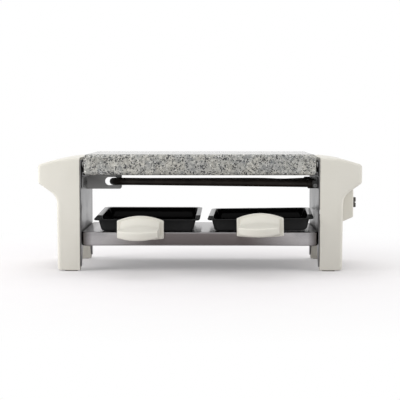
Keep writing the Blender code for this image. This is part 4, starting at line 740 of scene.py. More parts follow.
def soft_finish(name, colour, low, high):
    """Rubber, switch plastic, ceramic and lead insulation: one colour with slight mottling."""
    f = Finish(name)
    cloud = f.noise(500, 3, 0.6)
    return f.set(
        Base_Color=f.mix(cloud, tuple(c * 0.85 for c in colour), colour),
        Roughness=f.span(cloud, low, high), Normal=f.bump(cloud, 0.00003, 0.4),
    )


SLOT_FINISHES = {
    "cream_plastic": plastic_finish(),
    "granite": granite_finish(),
    "brushed_steel": brushed_finish(
        "plate_steel_look", (40, 40, 4200), (0.24, 0.24, 0.245), (0.38, 0.38, 0.385)
    ),
    "black_tube": tube_finish(),
    "dark_sheet": dark_sheet_finish("dark_sheet_look", 0.37, 0.43),
    "pan_coating": coating_finish(),
    "zinc_steel": zinc_finish(),
    "black_rubber": soft_finish("rubber_look", (0.020, 0.020, 0.020), 0.65, 0.85),
    "switch_black": soft_finish("switch_look", (0.060, 0.054, 0.044), 0.32, 0.45),
    "ceramic_white": soft_finish("ceramic_look", (0.75, 0.73, 0.68), 0.45, 0.60),
    "brown_lead": soft_finish("brown_lead_look", (0.10, 0.05, 0.03), 0.4, 0.5),
    "blue_lead": soft_finish("blue_lead_look", (0.03, 0.09, 0.35), 0.4, 0.5),
    "earth_lead": soft_finish("earth_lead_look", (0.35, 0.42, 0.06), 0.4, 0.5),
}
# The tray's ends are darkened with painted shade.
TRAY_STEEL = brushed_finish(
    "tray_steel_look", (14, 2600, 2600), (0.43, 0.415, 0.42), (0.56, 0.545, 0.555), (0.16, 0.22),
    anisotropy=0.9, edge=1.0, painted_shade_ends=(0.0930, 0.0995),
)
# Painted shade: a near-black copy of the dark sheet finish for the terminal bracket, which sits in
# shadow.
PAINTED_SHADE_SHEET = dark_sheet_finish("black_sheet_look", 0.022, 0.034)
PAD_RUBBER = soft_finish("pad_rubber_look", (0.20, 0.17, 0.14), 0.65, 0.85)
DARK_RIVET = soft_finish("dark_rivet_look", (0.15, 0.15, 0.15), 0.30, 0.45)


def dress_cad_nodes():
    """Gives every CAD node the finish of its slot, for those that stay in sight."""
    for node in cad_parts.values():
        for holder in node.material_slots:
            holder.material = SLOT_FINISHES[holder.material.name.split(".")[0]]
    for name in ("bracket_rivet_front", "bracket_rivet_back"):
        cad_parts[name].material_slots[0].material = DARK_RIVET


def make_slab():
    half = (SLAB_HIGH - SLAB_LOW) / 2
    mesh = box_mesh((-half.x, -half.y, SLAB_LOW.z), (half.x, half.y, SLAB_HIGH.z))
    mesh = bevelled(mesh, SLAB_EDGE_ROUND, 7)
    show("granite_stone", mesh, "granite", ["granite_slab"], "slab")


def casing_corners(inner=CASING_INNER):
    """The right casing seen from the front, its open side at inner."""
    reach = CASING_HIGH.x
    return [
        (inner, CASING_LOW.z, 0),
        (LEG_OUTER, CASING_LOW.z, LEG_TOE_RADIUS),
        (LEG_OUTER + LEG_DRAFT, GRIP_ROOT_HEIGHT, GRIP_ROOT_RADIUS),
        (reach, GRIP_UNDERSIDE_HEIGHT, GRIP_EDGE_RADIUS),
        (reach, GRIP_SHOULDER_HEIGHT, GRIP_EDGE_RADIUS),
        (CASING_INNER + CROWN_START, CASING_HIGH.z, CROWN_RADIUS),
        (inner, CASING_HIGH.z, 0),
    ]


def arch_mesh(side, grow):
    """The opening between a casing's front and back legs, as a bar along X."""
    foot = HALF_DEPTH - FOOT_DEPTH
    spring = HALF_DEPTH - ARCH_SPRING_DEPTH
    low = CASING_LOW.z
    corners = [
        (-foot, low - 2 * OVERRUN, 0),
        (foot, low - 2 * OVERRUN, 0),
        (foot, low, 0),
        (spring, ARCH_HEIGHT, ARCH_ROUND),
        (-spring, ARCH_HEIGHT, ARCH_ROUND),
        (-foot, low, 0),
    ]
    reach = LEG_WIDTH + LEG_DRAFT + 2 * OVERRUN
    middle = side * (CASING_INNER + LEG_WIDTH / 2)
    return prism_mesh(rounded(shrink(corners, -grow)), reach, "YZ", middle)


def crowned(mesh):
    """Lets the front and back faces curve away towards the tip of the grip."""
    reach = CASING_HIGH.x - CASING_INNER

    def change(work):
        for k in range(CROWN_STRIPS):
            for side in (-1, 1):
                across = side * (CASING_INNER + reach * k / CROWN_STRIPS)
                parts = work.verts[:] + work.edges[:] + work.faces[:]
                bmesh.ops.bisect_plane(work, geom=parts, plane_co=(across, 0, 0), plane_no=ALONG_X)
        for vert in work.verts:
            share = max((abs(vert.co.x) - CASING_INNER) / reach, 0)
            vert.co.y *= 1 - CASING_CROWN / HALF_DEPTH * share * share

    return reworked(mesh, change)


def settled(mesh):
    """Flattens the rounding at the bottom, so that the legs end in a tight edge."""
    low, full = CASING_LOW.z, 4 * CASING_EDGE_ROUND
    tight = CASING_EDGE_ROUND * TOE_TIGHTNESS
    for vert in mesh.vertices:
        rise = vert.co.z - low
        if rise < CASING_EDGE_ROUND:
            vert.co.z = TOE_HEIGHT + rise * TOE_TIGHTNESS
        elif rise < full:
            share = (rise - CASING_EDGE_ROUND) / (full - CASING_EDGE_ROUND)
            vert.co.z = TOE_HEIGHT + tight + (low + full - TOE_HEIGHT - tight) * share
    return mesh


def make_casing(name, side):
    """A moulded shell with soft edges, apart from the crisp ones of its open inner side."""
    spare = CASING_INNER - 2 * CASING_EDGE_ROUND
    outer = prism_mesh(flipped(rounded(casing_corners(spare)), side), 2 * HALF_DEPTH, "XZ")
    shell = settled(crowned(bevelled(outer, CASING_EDGE_ROUND, 6)))
    near, far = sorted((side * CASING_INNER, side * (spare - OVERRUN)))
    reach = HALF_DEPTH + OVERRUN
    inner_side = box_mesh((near, -reach, 0), (far, reach, 2 * CASING_HIGH.z))
    shell = cut(shell, inner_side, arch_mesh(side, 0))
    corners = shrink(casing_corners(), CASING_WALL)
    for i in (0, -1):
        corners[i] = (CASING_INNER - OVERRUN, corners[i][1], 0)
    room_depth = 2 * (HALF_DEPTH - CASING_WALL)
    room = crowned(prism_mesh(flipped(rounded(corners), side), room_depth, "XZ"))
    shell = cut(shell, cut(room, arch_mesh(side, CASING_WALL)))
    if side > 0:
        gland_low, gland_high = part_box("cord_gland")
        middle = (gland_low + gland_high) / 2
        start = (middle.x, HALF_DEPTH - CASING_WALL - OVERRUN, middle.z)
        length = CASING_WALL + 2 * OVERRUN
        shell = cut(shell, rod_mesh(start, ALONG_Y, GLAND_SHANK_RADIUS + HOLE_PLAY, length))
    show(name + "_shell", shell, "cream_plastic", [name], smooth_angle=30)


def make_side_plate(name, side):
    """A flat sheet that follows the casing's legs and arch a little further in."""
    edge = HALF_DEPTH - PLATE_EDGE_INSET
    spring = HALF_DEPTH - ARCH_SPRING_DEPTH + PLATE_EDGE_INSET
    arch_top = ARCH_HEIGHT + PLATE_EDGE_INSET
    toe = edge - PLATE_FOOT_DEPTH
    top = CASING_HIGH.z - PLATE_TOP_INSET
    corners = [
        (-edge, PLATE_FOOT_HEIGHT, PLATE_TOE_ROUND),
        (-toe, PLATE_FOOT_HEIGHT, PLATE_TOE_ROUND),
        (-spring, arch_top, ARCH_ROUND),
        (spring, arch_top, ARCH_ROUND),
        (toe, PLATE_FOOT_HEIGHT, PLATE_TOE_ROUND),
        (edge, PLATE_FOOT_HEIGHT, PLATE_TOE_ROUND),
        (edge, top, PLATE_TOP_ROUND),
        (-edge, top, PLATE_TOP_ROUND),
    ]
    middle = side * (HALF_BAY + PLATE_THICKNESS / 2)
    mesh = prism_mesh(rounded(corners), PLATE_THICKNESS, "YZ", middle)
    show(name + "_sheet", bevelled(mesh, PLATE_EDGE_ROUND, 2), "brushed_steel", [name])


def make_rail(name, side):
    """A folded strip: an upright web, a seat for the slab below and a short lip above."""
    low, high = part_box(name)
    web_out = max(abs(low.x), abs(high.x))
    web_in = web_out - RAIL_THICKNESS
    seat_top = low.z + RAIL_THICKNESS
    seat_in = web_out - RAIL_SEAT_REACH
    lip_in = web_out - RAIL_LIP_REACH
    lip_low = high.z - RAIL_LIP_THICKNESS
    section = [
        (web_out, low.z, RAIL_FOLD),
        (web_out, high.z, RAIL_FOLD),
        (lip_in, high.z, 0),
        (lip_in, lip_low, 0),
        (web_in, lip_low, 0),
        (web_in, seat_top, RAIL_FOLD),
        (seat_in, seat_top, 0),
        (seat_in, low.z, 0),
    ]
    mesh = prism_mesh(flipped(rounded(section, 18), side), high.y - low.y, "XZ")
    show(name + "_strip", bevelled(mesh, SHEET_EDGE_ROUND, 2), "brushed_steel", [name])


def make_tray():
    """A pressed tray with soft corners and a hem rolled in along its lower edge."""

    def ring(inset, z):
        corner = TRAY_CORNER_RADIUS - inset
        points = rounded_rectangle(TRAY_HIGH.x - inset, HALF_DEPTH - inset, corner, 10)
        return [(x, y, z) for x, y in points]

    low, top = TRAY_LOW.z, TRAY_HIGH.z
    rings = [ring(HEM_END_INSET, low + HEM_END_RISE)]
    for sine, cosine in arc(6):
        rings.append(ring(TRAY_HEM * (1 - sine), low + TRAY_HEM * (1 - cosine)))
    for sine, cosine in arc(5):
        rings.append(ring(TRAY_TOP_ROUND * (1 - cosine), top - TRAY_TOP_ROUND * (1 - sine)))
    mesh = solidified(loft_mesh(rings, -1), TRAY_THICKNESS)
    show("tray_sheet", mesh, "brushed_steel", ["pan_tray"], material=TRAY_STEEL, smooth_angle=50)


def make_element():
    """The heater tube: it leaves one collar, bends round at the left and comes back."""
    low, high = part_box("heating_element")
    radius = TUBE_RUN_SPACING / 2
    bend_x = -TUBE_BEND_END + TUBE_DIAMETER / 2 + radius
    front_z = high.z - TUBE_DIAMETER / 2
    back_z = low.z + TUBE_DIAMETER / 2
    collar_low, collar_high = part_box("front_element_collar")
    end_z = (collar_low.z + collar_high.z) / 2

    def bend_z(y):
        share = (y + radius) / (2 * radius)
        return front_z + (back_z - front_z) * share * share * (3 - 2 * share)

    points = []
    for k in range(FRONT_RUN_STEPS):
        share = k / FRONT_RUN_STEPS
        z = end_z + (front_z - end_z) * share
        points.append((high.x + (bend_x - high.x) * share, -radius, z))
    for k in range(BEND_STEPS + 1):
        angle = math.radians(270 - 180 * k / BEND_STEPS)
        y = radius * math.sin(angle)
        points.append((bend_x + radius * math.cos(angle), y, bend_z(y)))
    for k in range(1, BEND_STEPS + 1):
        share = k / BEND_STEPS
        sag = BACK_RUN_SAG * math.exp(-((share - SAG_SHARE) / SAG_SPREAD_SHARE) ** 2)
        z = back_z + (end_z - back_z) * share - sag
        points.append((bend_x + (high.x - bend_x) * share, radius, z))
    curve = bpy.data.curves.new("element_route", "CURVE")
    curve.dimensions = "3D"
    curve.bevel_depth = TUBE_DIAMETER / 2
    curve.bevel_resolution = 7
    curve.use_fill_caps = True
    spline = curve.splines.new("POLY")
    spline.points.add(len(points) - 1)
    for point, spot in zip(spline.points, points):
        point.co = (*spot, 1)
    show("element_tube", cleaned(shaped(curve)), "black_tube", ["heating_element"])


def make_collars():
    """A ring with soft edges round each end of the tube."""
    outer, far = COLLAR_DIAMETER / 2, COLLAR_LENGTH
    profile = [
        (TUBE_BORE, 0), (outer - COLLAR_EDGE, 0),
        (outer - COLLAR_EDGE_BULGE, COLLAR_EDGE_BULGE), (outer, COLLAR_EDGE),
        (outer, far - COLLAR_EDGE), (outer - COLLAR_EDGE_BULGE, far - COLLAR_EDGE_BULGE),
        (outer - COLLAR_EDGE, far), (TUBE_BORE, far), (TUBE_BORE, 0),
    ]
    for end in ("front", "back"):
        node = f"{end}_element_collar"
        low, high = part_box(node)
        middle = (low + high) / 2
        mesh = turned_mesh((low.x, middle.y - MID_Y, middle.z), ALONG_X, profile)
        show(f"{end}_collar_ring", mesh, "black_tube", [node])


def rivet_bores(*names):
    """What is cut from a sheet for the shanks of rivets that run along X."""
    bores = []
    for name in names:
        low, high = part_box(name)
        middle = (low + high) / 2
        start = (middle.x - BORE_LENGTH / 2, middle.y - MID_Y, middle.z)
        bores.append(rod_mesh(start, ALONG_X, RIVET_BORE, BORE_LENGTH, RIVET_BORE_STEPS))
    return bores


def make_element_bracket():
    """The folded sheet at the left: its plate has a round-ended slot for the bend, and its flange
    tapers towards the front."""
    low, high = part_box("element_bracket")
    back, front = high.y - MID_Y, low.y - MID_Y
    plate = [
        (low.x, low.z, 0), (high.x - BRACKET_CHAMFER, low.z, BRACKET_CHAMFER_ROUND),
        (high.x, low.z + BRACKET_CHAMFER, BRACKET_CHAMFER_ROUND),
        (high.x, high.z, BRACKET_CORNER_ROUND), (low.x, high.z, 0),
    ]
    plate_middle = back - BRACKET_THICKNESS / 2
    mesh = prism_mesh(rounded(plate, 15), BRACKET_THICKNESS, "XZ", plate_middle)
    half = BRACKET_SLOT_HEIGHT / 2
    left, right = -BRACKET_SLOT_LEFT, -BRACKET_SLOT_LEFT + BRACKET_SLOT_WIDTH
    under, over = BRACKET_SLOT_MIDDLE - half, BRACKET_SLOT_MIDDLE + half
    slot = [
        (x, z, half * ROUND_END_SHARE)
        for x, z in ((left, under), (right, under), (right, over), (left, over))
    ]
    mesh = cut(mesh, prism_mesh(rounded(slot), BRACKET_THICKNESS + 2 * OVERRUN, "XZ", back))
    flange = [
        (front, low.z + BRACKET_FLANGE_RISE, BRACKET_CORNER_ROUND), (back, low.z, 0),
        (back, high.z, 0), (front, high.z, BRACKET_CORNER_ROUND),
    ]
    flange_middle = low.x + BRACKET_THICKNESS / 2
    mesh = join(mesh, prism_mesh(rounded(flange, 15), BRACKET_THICKNESS, "YZ", flange_middle))
    mesh = cut(mesh, *rivet_bores("bracket_rivet_front", "bracket_rivet_back"))
    mesh = bevelled(mesh, SHEET_EDGE_ROUND, 2, angle=60)
    show("bend_bracket", mesh, "dark_sheet", ["element_bracket"])


def make_terminal_bracket():
    """The sheet at the right, finished near black as painted shade, with a round tab folded inwards
    at its front, and the ring rivet in the tab."""
    low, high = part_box("terminal_bracket")
    back, front = high.y - MID_Y, low.y - MID_Y
    tab_low = low.z + TERMINAL_TAB_RISE
    tab_top = tab_low + TERMINAL_TAB_LENGTH
    sheet = [
        (front, tab_low, 0), (back, tab_low, TERMINAL_CORNER_RADIUS),
        (back, high.z, TERMINAL_CORNER_RADIUS), (front, high.z, 0),
    ]
    sheet_middle = high.x - BRACKET_THICKNESS / 2
    mesh = prism_mesh(rounded(sheet), BRACKET_THICKNESS, "YZ", sheet_middle)
    round_end = TERMINAL_TAB_WIDTH / 2 * ROUND_END_SHARE
    tab = [
        (low.x, tab_low, round_end), (high.x, tab_low, round_end), (high.x, tab_top, 0),
        (low.x, tab_top, 0),
    ]
    tab_middle = front + BRACKET_THICKNESS / 2
    mesh = join(mesh, prism_mesh(rounded(tab), BRACKET_THICKNESS, "XZ", tab_middle))
    for y in (-TUBE_RUN_SPACING / 2, TUBE_RUN_SPACING / 2):
        start = (high.x - BORE_LENGTH / 2, y, TERMINAL_HEIGHT)
        mesh = cut(mesh, rod_mesh(start, ALONG_X, TUBE_BORE, BORE_LENGTH))
    mesh = cut(mesh, *rivet_bores("terminal_rivet_front", "terminal_rivet_back"))
    low_y, high_y = (box.y - MID_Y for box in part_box("terminal_tab_rivet"))
    length = high_y - low_y
    start = ((low.x + high.x) / 2, low_y, tab_low + TERMINAL_TAB_WIDTH / 2)
    mesh = cut(mesh, rod_mesh(start, ALONG_Y, RIVET_BORE, length, RIVET_BORE_STEPS))
    tail = RING_RIVET_HEAD + BRACKET_THICKNESS
    profile = [
        (0, RING_RIVET_DEPTH), (RING_RIVET_HOLLOW, RING_RIVET_DEPTH), (RING_RIVET_HOLLOW, 0),
        (RING_RIVET_RADIUS - RING_RIVET_EDGE, 0), (RING_RIVET_RADIUS, RING_RIVET_EDGE),
        (RING_RIVET_RADIUS, RING_RIVET_HEAD), (RING_RIVET_SHANK, RING_RIVET_HEAD),
        (RING_RIVET_SHANK, tail), (RING_RIVET_RADIUS, tail), (RING_RIVET_RADIUS, length),
        (0, length),
    ]
    ring = turned_mesh(start, ALONG_Y, profile, 32)
    show("tab_ring_rivet", ring, "zinc_steel", ["terminal_tab_rivet"], material=DARK_RIVET)
    mesh = bevelled(mesh, SHEET_EDGE_ROUND, 2, angle=60)
    show("terminal_sheet", mesh, "dark_sheet", ["terminal_bracket"], material=PAINTED_SHADE_SHEET)


def pan_frame(lie):
    """Where a pan lies: at the front lower edge of its bottom, on the tray."""
    raised = FIT_GAP + abs(math.tan(lie["roll"])) * PAN_BOTTOM_WIDTH / 2
    place = Matrix.Translation((lie["middle"], -PAN_RIM_FRONT + PAN_EDGE, TRAY_HIGH.z + raised))
    turn = Matrix.Rotation(lie["yaw"], 4, "Z") @ Matrix.Rotation(lie["roll"], 4, "Y")
    return place @ turn @ Matrix.Rotation(lie["tip"], 4, "X")


def handle_frame(lie):
    """Where a handle lies: at the middle of its pan's front rim."""
    turn = Matrix.Rotation(lie["swing"], 4, "Z") @ Matrix.Rotation(lie["droop"], 4, "X")
    rim_front = (-lie["handle_left"], -PAN_EDGE, PAN_HEIGHT - lie["handle_down"])
    return pan_frame(lie) @ Matrix.Translation(rim_front) @ turn


def make_pan(end, lie):
    """A pressed pan: flat rim, a small shoulder, sloping walls and a rounded foot."""
    middle = (0, PAN_RIM_DEPTH / 2 - PAN_EDGE)

    def ring(inset, corner, z):
        half_x = PAN_RIM_WIDTH / 2 - inset
        half_y = PAN_RIM_DEPTH / 2 - inset
        return [(x, y, z) for x, y in rounded_rectangle(half_x, half_y, corner, 10, middle)]

    top = PAN_HEIGHT
    shoulder = PAN_RIM_SHOULDER
    rings = [
        ring(0, PAN_RIM_CORNER, top - PAN_RIM_EDGE), ring(PAN_RIM_EDGE, PAN_RIM_CORNER, top)
    ]
    for sine, cosine in arc(4, PAN_SHOULDER_TURN):
        inset = PAN_RIM_FLANGE - shoulder + shoulder * sine
        rings.append(ring(inset, PAN_BOTTOM_CORNER, top - shoulder * (1 - cosine)))
    for sine, cosine in arc(6):
        drawn_in = PAN_BOTTOM_ROUND * (1 - cosine)
        z = PAN_THICKNESS + PAN_BOTTOM_ROUND * (1 - sine)
        rings.append(ring(PAN_EDGE + drawn_in, PAN_BOTTOM_CORNER - drawn_in, z))
    mesh = solidified(loft_mesh(rings, -1), PAN_THICKNESS)
    show(
        f"{end}_pan_pressing", mesh, "pan_coating", [f"{end}_pan"], f"{end}_pan_set",
        smooth_angle=60, place=pan_frame(lie),
    )


def handle_section(share):
    """The handle's side view at one place across it, share running from -1 to 1."""
    spread = share * share
    nose = -HANDLE_LENGTH + HANDLE_BOW * spread
    x = share * HANDLE_WIDTH / 2
    back = GUARD_THICKNESS / 2

    def top(distance):
        reach = min(distance / HANDLE_SCOOP_LENGTH, 1)
        eased = (1 - reach) ** 2
        beyond = max(distance - HANDLE_SCOOP_LENGTH, 0) / (HANDLE_LENGTH - HANDLE_SCOOP_LENGTH)
        slope = (HANDLE_TOP_FRONT - HANDLE_TOP_SCOOP) * beyond
        forward = distance / HANDLE_LENGTH
        crown = (HANDLE_TOP_CROWN * (1 - forward) - HANDLE_LIP_RISE * forward) * spread
        return HANDLE_TOP_BACK * eased - HANDLE_TOP_SCOOP * (1 - eased) - slope - crown

    points = [(x, back, top(0))]
    flat = -nose - HANDLE_NOSE_ROUND - HANDLE_SCOOP_LENGTH
    distances = [HANDLE_SCOOP_LENGTH * k / 12 for k in range(1, 13)]
    distances += [HANDLE_SCOOP_LENGTH + flat * k / 5 for k in range(1, 5)]
    points += [(x, -distance, top(distance)) for distance in distances]
    lip = -HANDLE_TOP_FRONT + HANDLE_LIP_RISE * spread
    keel = -HANDLE_UNDERSIDE_FRONT + HANDLE_UNDERSIDE_CROWN * spread
    r = HANDLE_NOSE_ROUND
    points += [(x, nose + r * (1 - sine), lip - r * (1 - cosine)) for sine, cosine in arc(5)]
    points += [(x, nose + r * (1 - cosine), keel + r * (1 - sine)) for sine, cosine in arc(5)]
    under = -HANDLE_UNDERSIDE_BACK + HANDLE_UNDERSIDE_CROWN * spread
    run = back - nose - r
    for k in range(1, 5):
        points.append((x, nose + r + run * k / 4, keel + (under - keel) * k / 4))
    return points


def guard_outline():
    """The guard plate seen from the front, its lower and upper edges bowed."""
    points = []
    for side, end, crown in (
        (1, -GUARD_END_BOTTOM, -GUARD_CROWN_BOTTOM), (-1, GUARD_END_TOP, GUARD_CROWN_TOP)
    ):
        for k in range(GUARD_STEPS + 1):
            share = side * (-1 + 2 * k / GUARD_STEPS)
            points.append((share * GUARD_WIDTH / 2, end + (crown - end) * (1 - share * share)))
    return points


def make_handle(end, lie):
    """A guard plate and, in front of it, a thumb rest with a scooped top."""
    guard_middle = -HANDLE_STANDOFF - GUARD_THICKNESS / 2
    guard = prism_mesh(guard_outline(), GUARD_THICKNESS, "XZ", guard_middle)
    guard = bevelled(guard, GUARD_EDGE_ROUND, 4)
    sections = []
    for k in range(HANDLE_STEPS + 1):
        sections.append(handle_section(math.sin(math.radians(-90 + 180 * k / HANDLE_STEPS))))
    body = bevelled(loft_mesh(sections, -1, 0), HANDLE_EDGE_ROUND, 4, angle=50)
    body.transform(Matrix.Translation((0, -HANDLE_STANDOFF - GUARD_THICKNESS, 0)))
    show(
        f"{end}_handle_moulding", join(guard, body), "cream_plastic", [f"{end}_pan_handle"],
        f"{end}_pan_set", smooth_angle=35, place=handle_frame(lie),
    )


def make_tang(end, lie):
    """A steel strip from under the pan's rim, cranked down and on into the handle."""
    top = -PAN_THICKNESS - FIT_GAP
    back = PAN_RIM_FLANGE - FIT_GAP - PAN_THICKNESS
    front = -HANDLE_STANDOFF - TANG_LENGTH
    low = top - TANG_CRANK
    crank_back, crank_front = -HANDLE_STANDOFF * 0.25, -HANDLE_STANDOFF * 0.75
    thick = TANG_THICKNESS
    r = TANG_CRANK_ROUND
    side_view = [
        (front, low - thick, 0), (crank_front, low - thick, r + thick),
        (crank_back, top - thick, r), (back, top - thick, 0), (back, top, 0),
        (crank_back, top, r + thick), (crank_front, low, r), (front, low, 0),
    ]
    mesh = bevelled(prism_mesh(rounded(side_view, 12), TANG_WIDTH, "YZ"), TANG_EDGE_ROUND, 2)
    show(
        f"{end}_tang_strip", mesh, "zinc_steel", [f"{end}_handle_tang"], f"{end}_pan_set",
        place=handle_frame(lie),
    )


def make_housing():
    """The pod on the right casing's outer side, hollow towards it, with the rocker's window."""
    inner = LEG_OUTER - HOUSING_SINK
    outer = LEG_OUTER + HOUSING_REACH
    corners = [
        (inner, HOUSING_BOTTOM_INNER, 0),
        (outer, HOUSING_BOTTOM_OUTER, HOUSING_ROUND),
        (outer, HOUSING_TOP, 0),
        (inner, HOUSING_TOP, 0),
    ]
    mesh = bevelled(prism_mesh(rounded(corners), HOUSING_DEPTH, "XZ"), HOUSING_EDGE_ROUND, 4)
    room = shrink(corners, HOUSING_WALL)
    room[0] = (inner - OVERRUN, room[0][1], 0)
    room[2] = (room[2][0], HOUSING_TOP + OVERRUN, 0)
    room[3] = (inner - OVERRUN, HOUSING_TOP + OVERRUN, 0)
    inside = prism_mesh(rounded(room), HOUSING_DEPTH - 2 * HOUSING_WALL, "XZ")
    casing = rounded(shrink(casing_corners(), -FIT_GAP))
    clear = prism_mesh(casing, HOUSING_DEPTH + 2 * OVERRUN, "XZ")
    window = box_mesh(
        (outer - HOUSING_WALL - OVERRUN, -WINDOW_HALF_LENGTH, SWITCH_HEIGHT - WINDOW_HALF_WIDTH),
        (outer + OVERRUN, WINDOW_HALF_LENGTH, SWITCH_HEIGHT + WINDOW_HALF_WIDTH),
    )
    mesh = cut(mesh, inside, clear, window)
    show("switch_pod", mesh, "cream_plastic", ["switch_housing"], smooth_angle=30)


def make_rocker():
    """The rocker: a dished face with full round corners and a groove across its middle, its front
    end standing out."""
    half, rise = ROCKER_HALF_LENGTH, ROCKER_RISE
    plan = [(-ROCKER_KEEL, -half / 3, 0), (0, -half, 0), (rise, -half, ROCKER_CORNER_RADIUS)]
    for k in range(1, ROCKER_DISH_STEPS):
        share = -1 + 2 * k / ROCKER_DISH_STEPS
        dip = ROCKER_DISH * (1 - share * share)
        plan.append((rise - dip, share * half * ROCKER_DISH_SHARE, 0))
    plan += [(rise, half, ROCKER_CORNER_RADIUS), (0, half, 0), (-ROCKER_KEEL, half / 3, 0)]
    mesh = bevelled(prism_mesh(rounded(plan), ROCKER_WIDTH, "XY"), ROCKER_EDGE_ROUND, 4, angle=40)
    mesh = cut(mesh, box_mesh(
        (rise - ROCKER_GROOVE_DEPTH, -2 * half, -ROCKER_GROOVE_HALF),
        (2 * rise, 2 * half, ROCKER_GROOVE_HALF),
    ))
    across = LEG_OUTER + HOUSING_REACH + FIT_GAP - ROCKER_SETBACK
    place = Matrix.Translation((across, 0, SWITCH_HEIGHT)) @ Matrix.Rotation(ROCKER_TILT, 4, "Z")
    show("rocker_cap", mesh, "switch_black", ["switch_rocker"], "rocker", place=place)


def make_foot(row, end):
    """A thin pad under one leg, just clear of the leg's lower edge."""
    node = f"{row}_{end}_foot"
    low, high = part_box(node)
    middle = (low + high) / 2
    half = (high - low) / 2
    place = (middle.x, middle.y - MID_Y)
    outline = rounded_rectangle(half.x, half.y, PAD_CORNER_RADIUS, 6, place)
    mesh = bevelled(prism_mesh(outline, PAD_THICKNESS, "XY", PAD_THICKNESS / 2), PAD_EDGE_ROUND, 2)
    show(f"{row}_{end}_pad", mesh, "black_rubber", [node], material=PAD_RUBBER)


def make_floor():
    """A plain pale floor that keeps the grill's shadow and runs out to plain white."""
    floor = added("floor", solid_from(
        lambda work: bmesh.ops.create_grid(work, x_segments=1, y_segments=1, size=FLOOR_HALF)
    ))
    f = Finish("floor_look")

    def mixed(factor, first, second):
        return f.fed("ShaderNodeMixShader", {"Fac": factor, 1: first, 2: second}, "Shader")

    colour = f.mix(f.noise(30, 2, 0.5), (0.615, 0.597, 0.605), (0.635, 0.617, 0.625))
    f.set(Base_Color=colour, Roughness=0.9)
    ground = f.shader.outputs["BSDF"]
    lift = f.fed("ShaderNodeEmission", {"Strength": FLOOR_LIFT}, "Emission")
    lifted = f.fed("ShaderNodeAddShader", {0: ground, 1: lift}, "Shader")
    near = mixed(f.node("ShaderNodeLightPath").outputs["Is Camera Ray"], ground, lifted)
    away = f.fed("ShaderNodeVectorMath", {0: f.place}, "Value", operation="LENGTH")
    fade = f.span(away, 0.0, 1.0, FLOOR_FADE_START, FLOOR_FADE_END)
    white = f.node("ShaderNodeEmission").outputs["Emission"]
    f.feed(f.tree.nodes["Material Output"].inputs["Surface"], mixed(fade, near, white))
    floor.data.materials.append(f.material)
    floor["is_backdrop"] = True


def make_world():
    """A white studio that is darker in front, low down, where the camera stands."""
    world = bpy.data.worlds.new("studio")
    world.use_nodes = True
    w = Nodes(world.node_tree)
    way = w.node("ShaderNodeSeparateXYZ")
    w.feed(way.inputs[0], w.node("ShaderNodeTexCoord").outputs["Generated"])
    front = w.span(way.outputs["Y"], 1.0, FRONT_LEVEL, *FRONT_FADE, "SMOOTHSTEP")
    height = w.span(way.outputs["Z"], 0.0, 1.0, *HEIGHT_FADE, "SMOOTHSTEP")
    path = w.node("ShaderNodeLightPath").outputs
    brightness = w.mix(path["Is Glossy Ray"], WORLD_LEVEL, REFLECTED_LEVEL, "FLOAT")
    level = w.math("MULTIPLY", w.mix(height, front, 1.0, "FLOAT"), brightness)
    seen = w.math("MAXIMUM", path["Is Camera Ray"], path["Is Transmission Ray"])
    background = w.tree.nodes["Background"]
    w.feed(background.inputs["Strength"], w.mix(seen, level, 1.0, "FLOAT"))
    w.feed(background.inputs["Color"], (1, 1, 1))
    bpy.context.scene.world = world


def facing(place, target):
    """The turn of a lamp or camera that looks from a place at a target."""
    return (Vector(target) - Vector(place)).to_track_quat("-Z", "Y").to_euler()


def make_lamp(name, place, size, power):
    """A rectangular softbox that shows in no reflection."""
    data = bpy.data.lights.new(name, "AREA")
    data.shape = "RECTANGLE"
    data.size, data.size_y = size
    data.energy = power
    lamp = added(name, data)
    lamp.location = (place[0], MID_Y + place[1], place[2])
    lamp.visible_glossy = False
    lamp.rotation_euler = facing(lamp.location, LAMP_AIM)


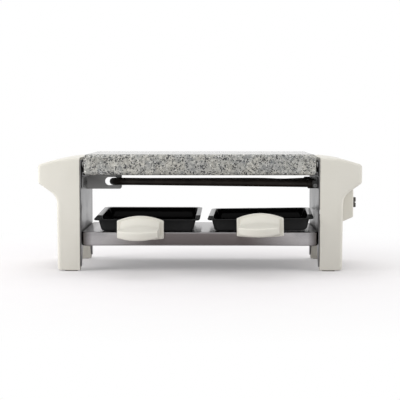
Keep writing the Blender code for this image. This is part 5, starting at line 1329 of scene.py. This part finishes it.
def make_card():
    """A dark card that leans in front of the grill and shows only as the dark middle of the
    reflection in its tray."""
    near = MID_Y - HALF_DEPTH - CARD_NEAR
    far = MID_Y - HALF_DEPTH - CARD_FAR
    corners = [
        (-CARD_HALF_WIDTH, near, CARD_LOW), (CARD_HALF_WIDTH, near, CARD_LOW),
        (CARD_HALF_WIDTH, far, CARD_TOP), (-CARD_HALF_WIDTH, far, CARD_TOP),
    ]
    card = added("card", solid_from(
        lambda work: work.faces.new([work.verts.new(corner) for corner in corners])
    ))
    f = Finish("card_look")
    reach = f.math("ABSOLUTE", f.along("X"))
    fade = f.span(reach, 0.0, 1.0, CARD_FADE_START, CARD_HALF_WIDTH)
    colour = f.mix(fade, (0.24, 0.21, 0.205), (0.85, 0.84, 0.84))
    card.data.materials.append(f.set(Base_Color=colour, Roughness=0.9))
    card.visible_camera = False
    card.visible_diffuse = False
    card.visible_shadow = False
    card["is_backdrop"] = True


def make_camera():
    """The photograph's view: 1 m in front of the casings and slightly above the slab."""
    front = MID_Y - HALF_DEPTH
    data = bpy.data.cameras.new("camera")
    data.sensor_width = SENSOR_WIDTH
    data.lens = FOCAL_PIXELS / FRAME_PIXELS * SENSOR_WIDTH
    camera = added("camera", data)
    camera.location = (CAMERA_ACROSS, front - CAMERA_DISTANCE, CAMERA_HEIGHT)
    camera.rotation_euler = facing(camera.location, (AIM_ACROSS, front, AIM_HEIGHT))
    bpy.context.scene.camera = camera


def write_sizes():
    boxes = [[list(corner) for corner in bounds] for bounds in (CAD_BOUNDS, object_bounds())]


dress_cad_nodes()
make_slab()
for end, side in (("left", -1), ("right", 1)):
    make_casing(f"{end}_casing", side)
    make_side_plate(f"{end}_side_plate", side)
    make_rail(f"{end}_slab_rail", side)
make_tray()
make_element()
make_collars()
make_element_bracket()
make_terminal_bracket()
for end, lie in (("left", LEFT_PAN), ("right", RIGHT_PAN)):
    make_pan(end, lie)
    make_handle(end, lie)
    make_tang(end, lie)
make_housing()
make_rocker()
for row in ("front", "back"):
    for end in ("left", "right"):
        make_foot(row, end)
make_floor()
make_world()
for name, lamp in LAMPS.items():
    make_lamp(name, *lamp)
make_card()
make_camera()
bpy.context.scene.view_settings.view_transform = "Standard"
bpy.context.view_layer.update()
write_sizes()
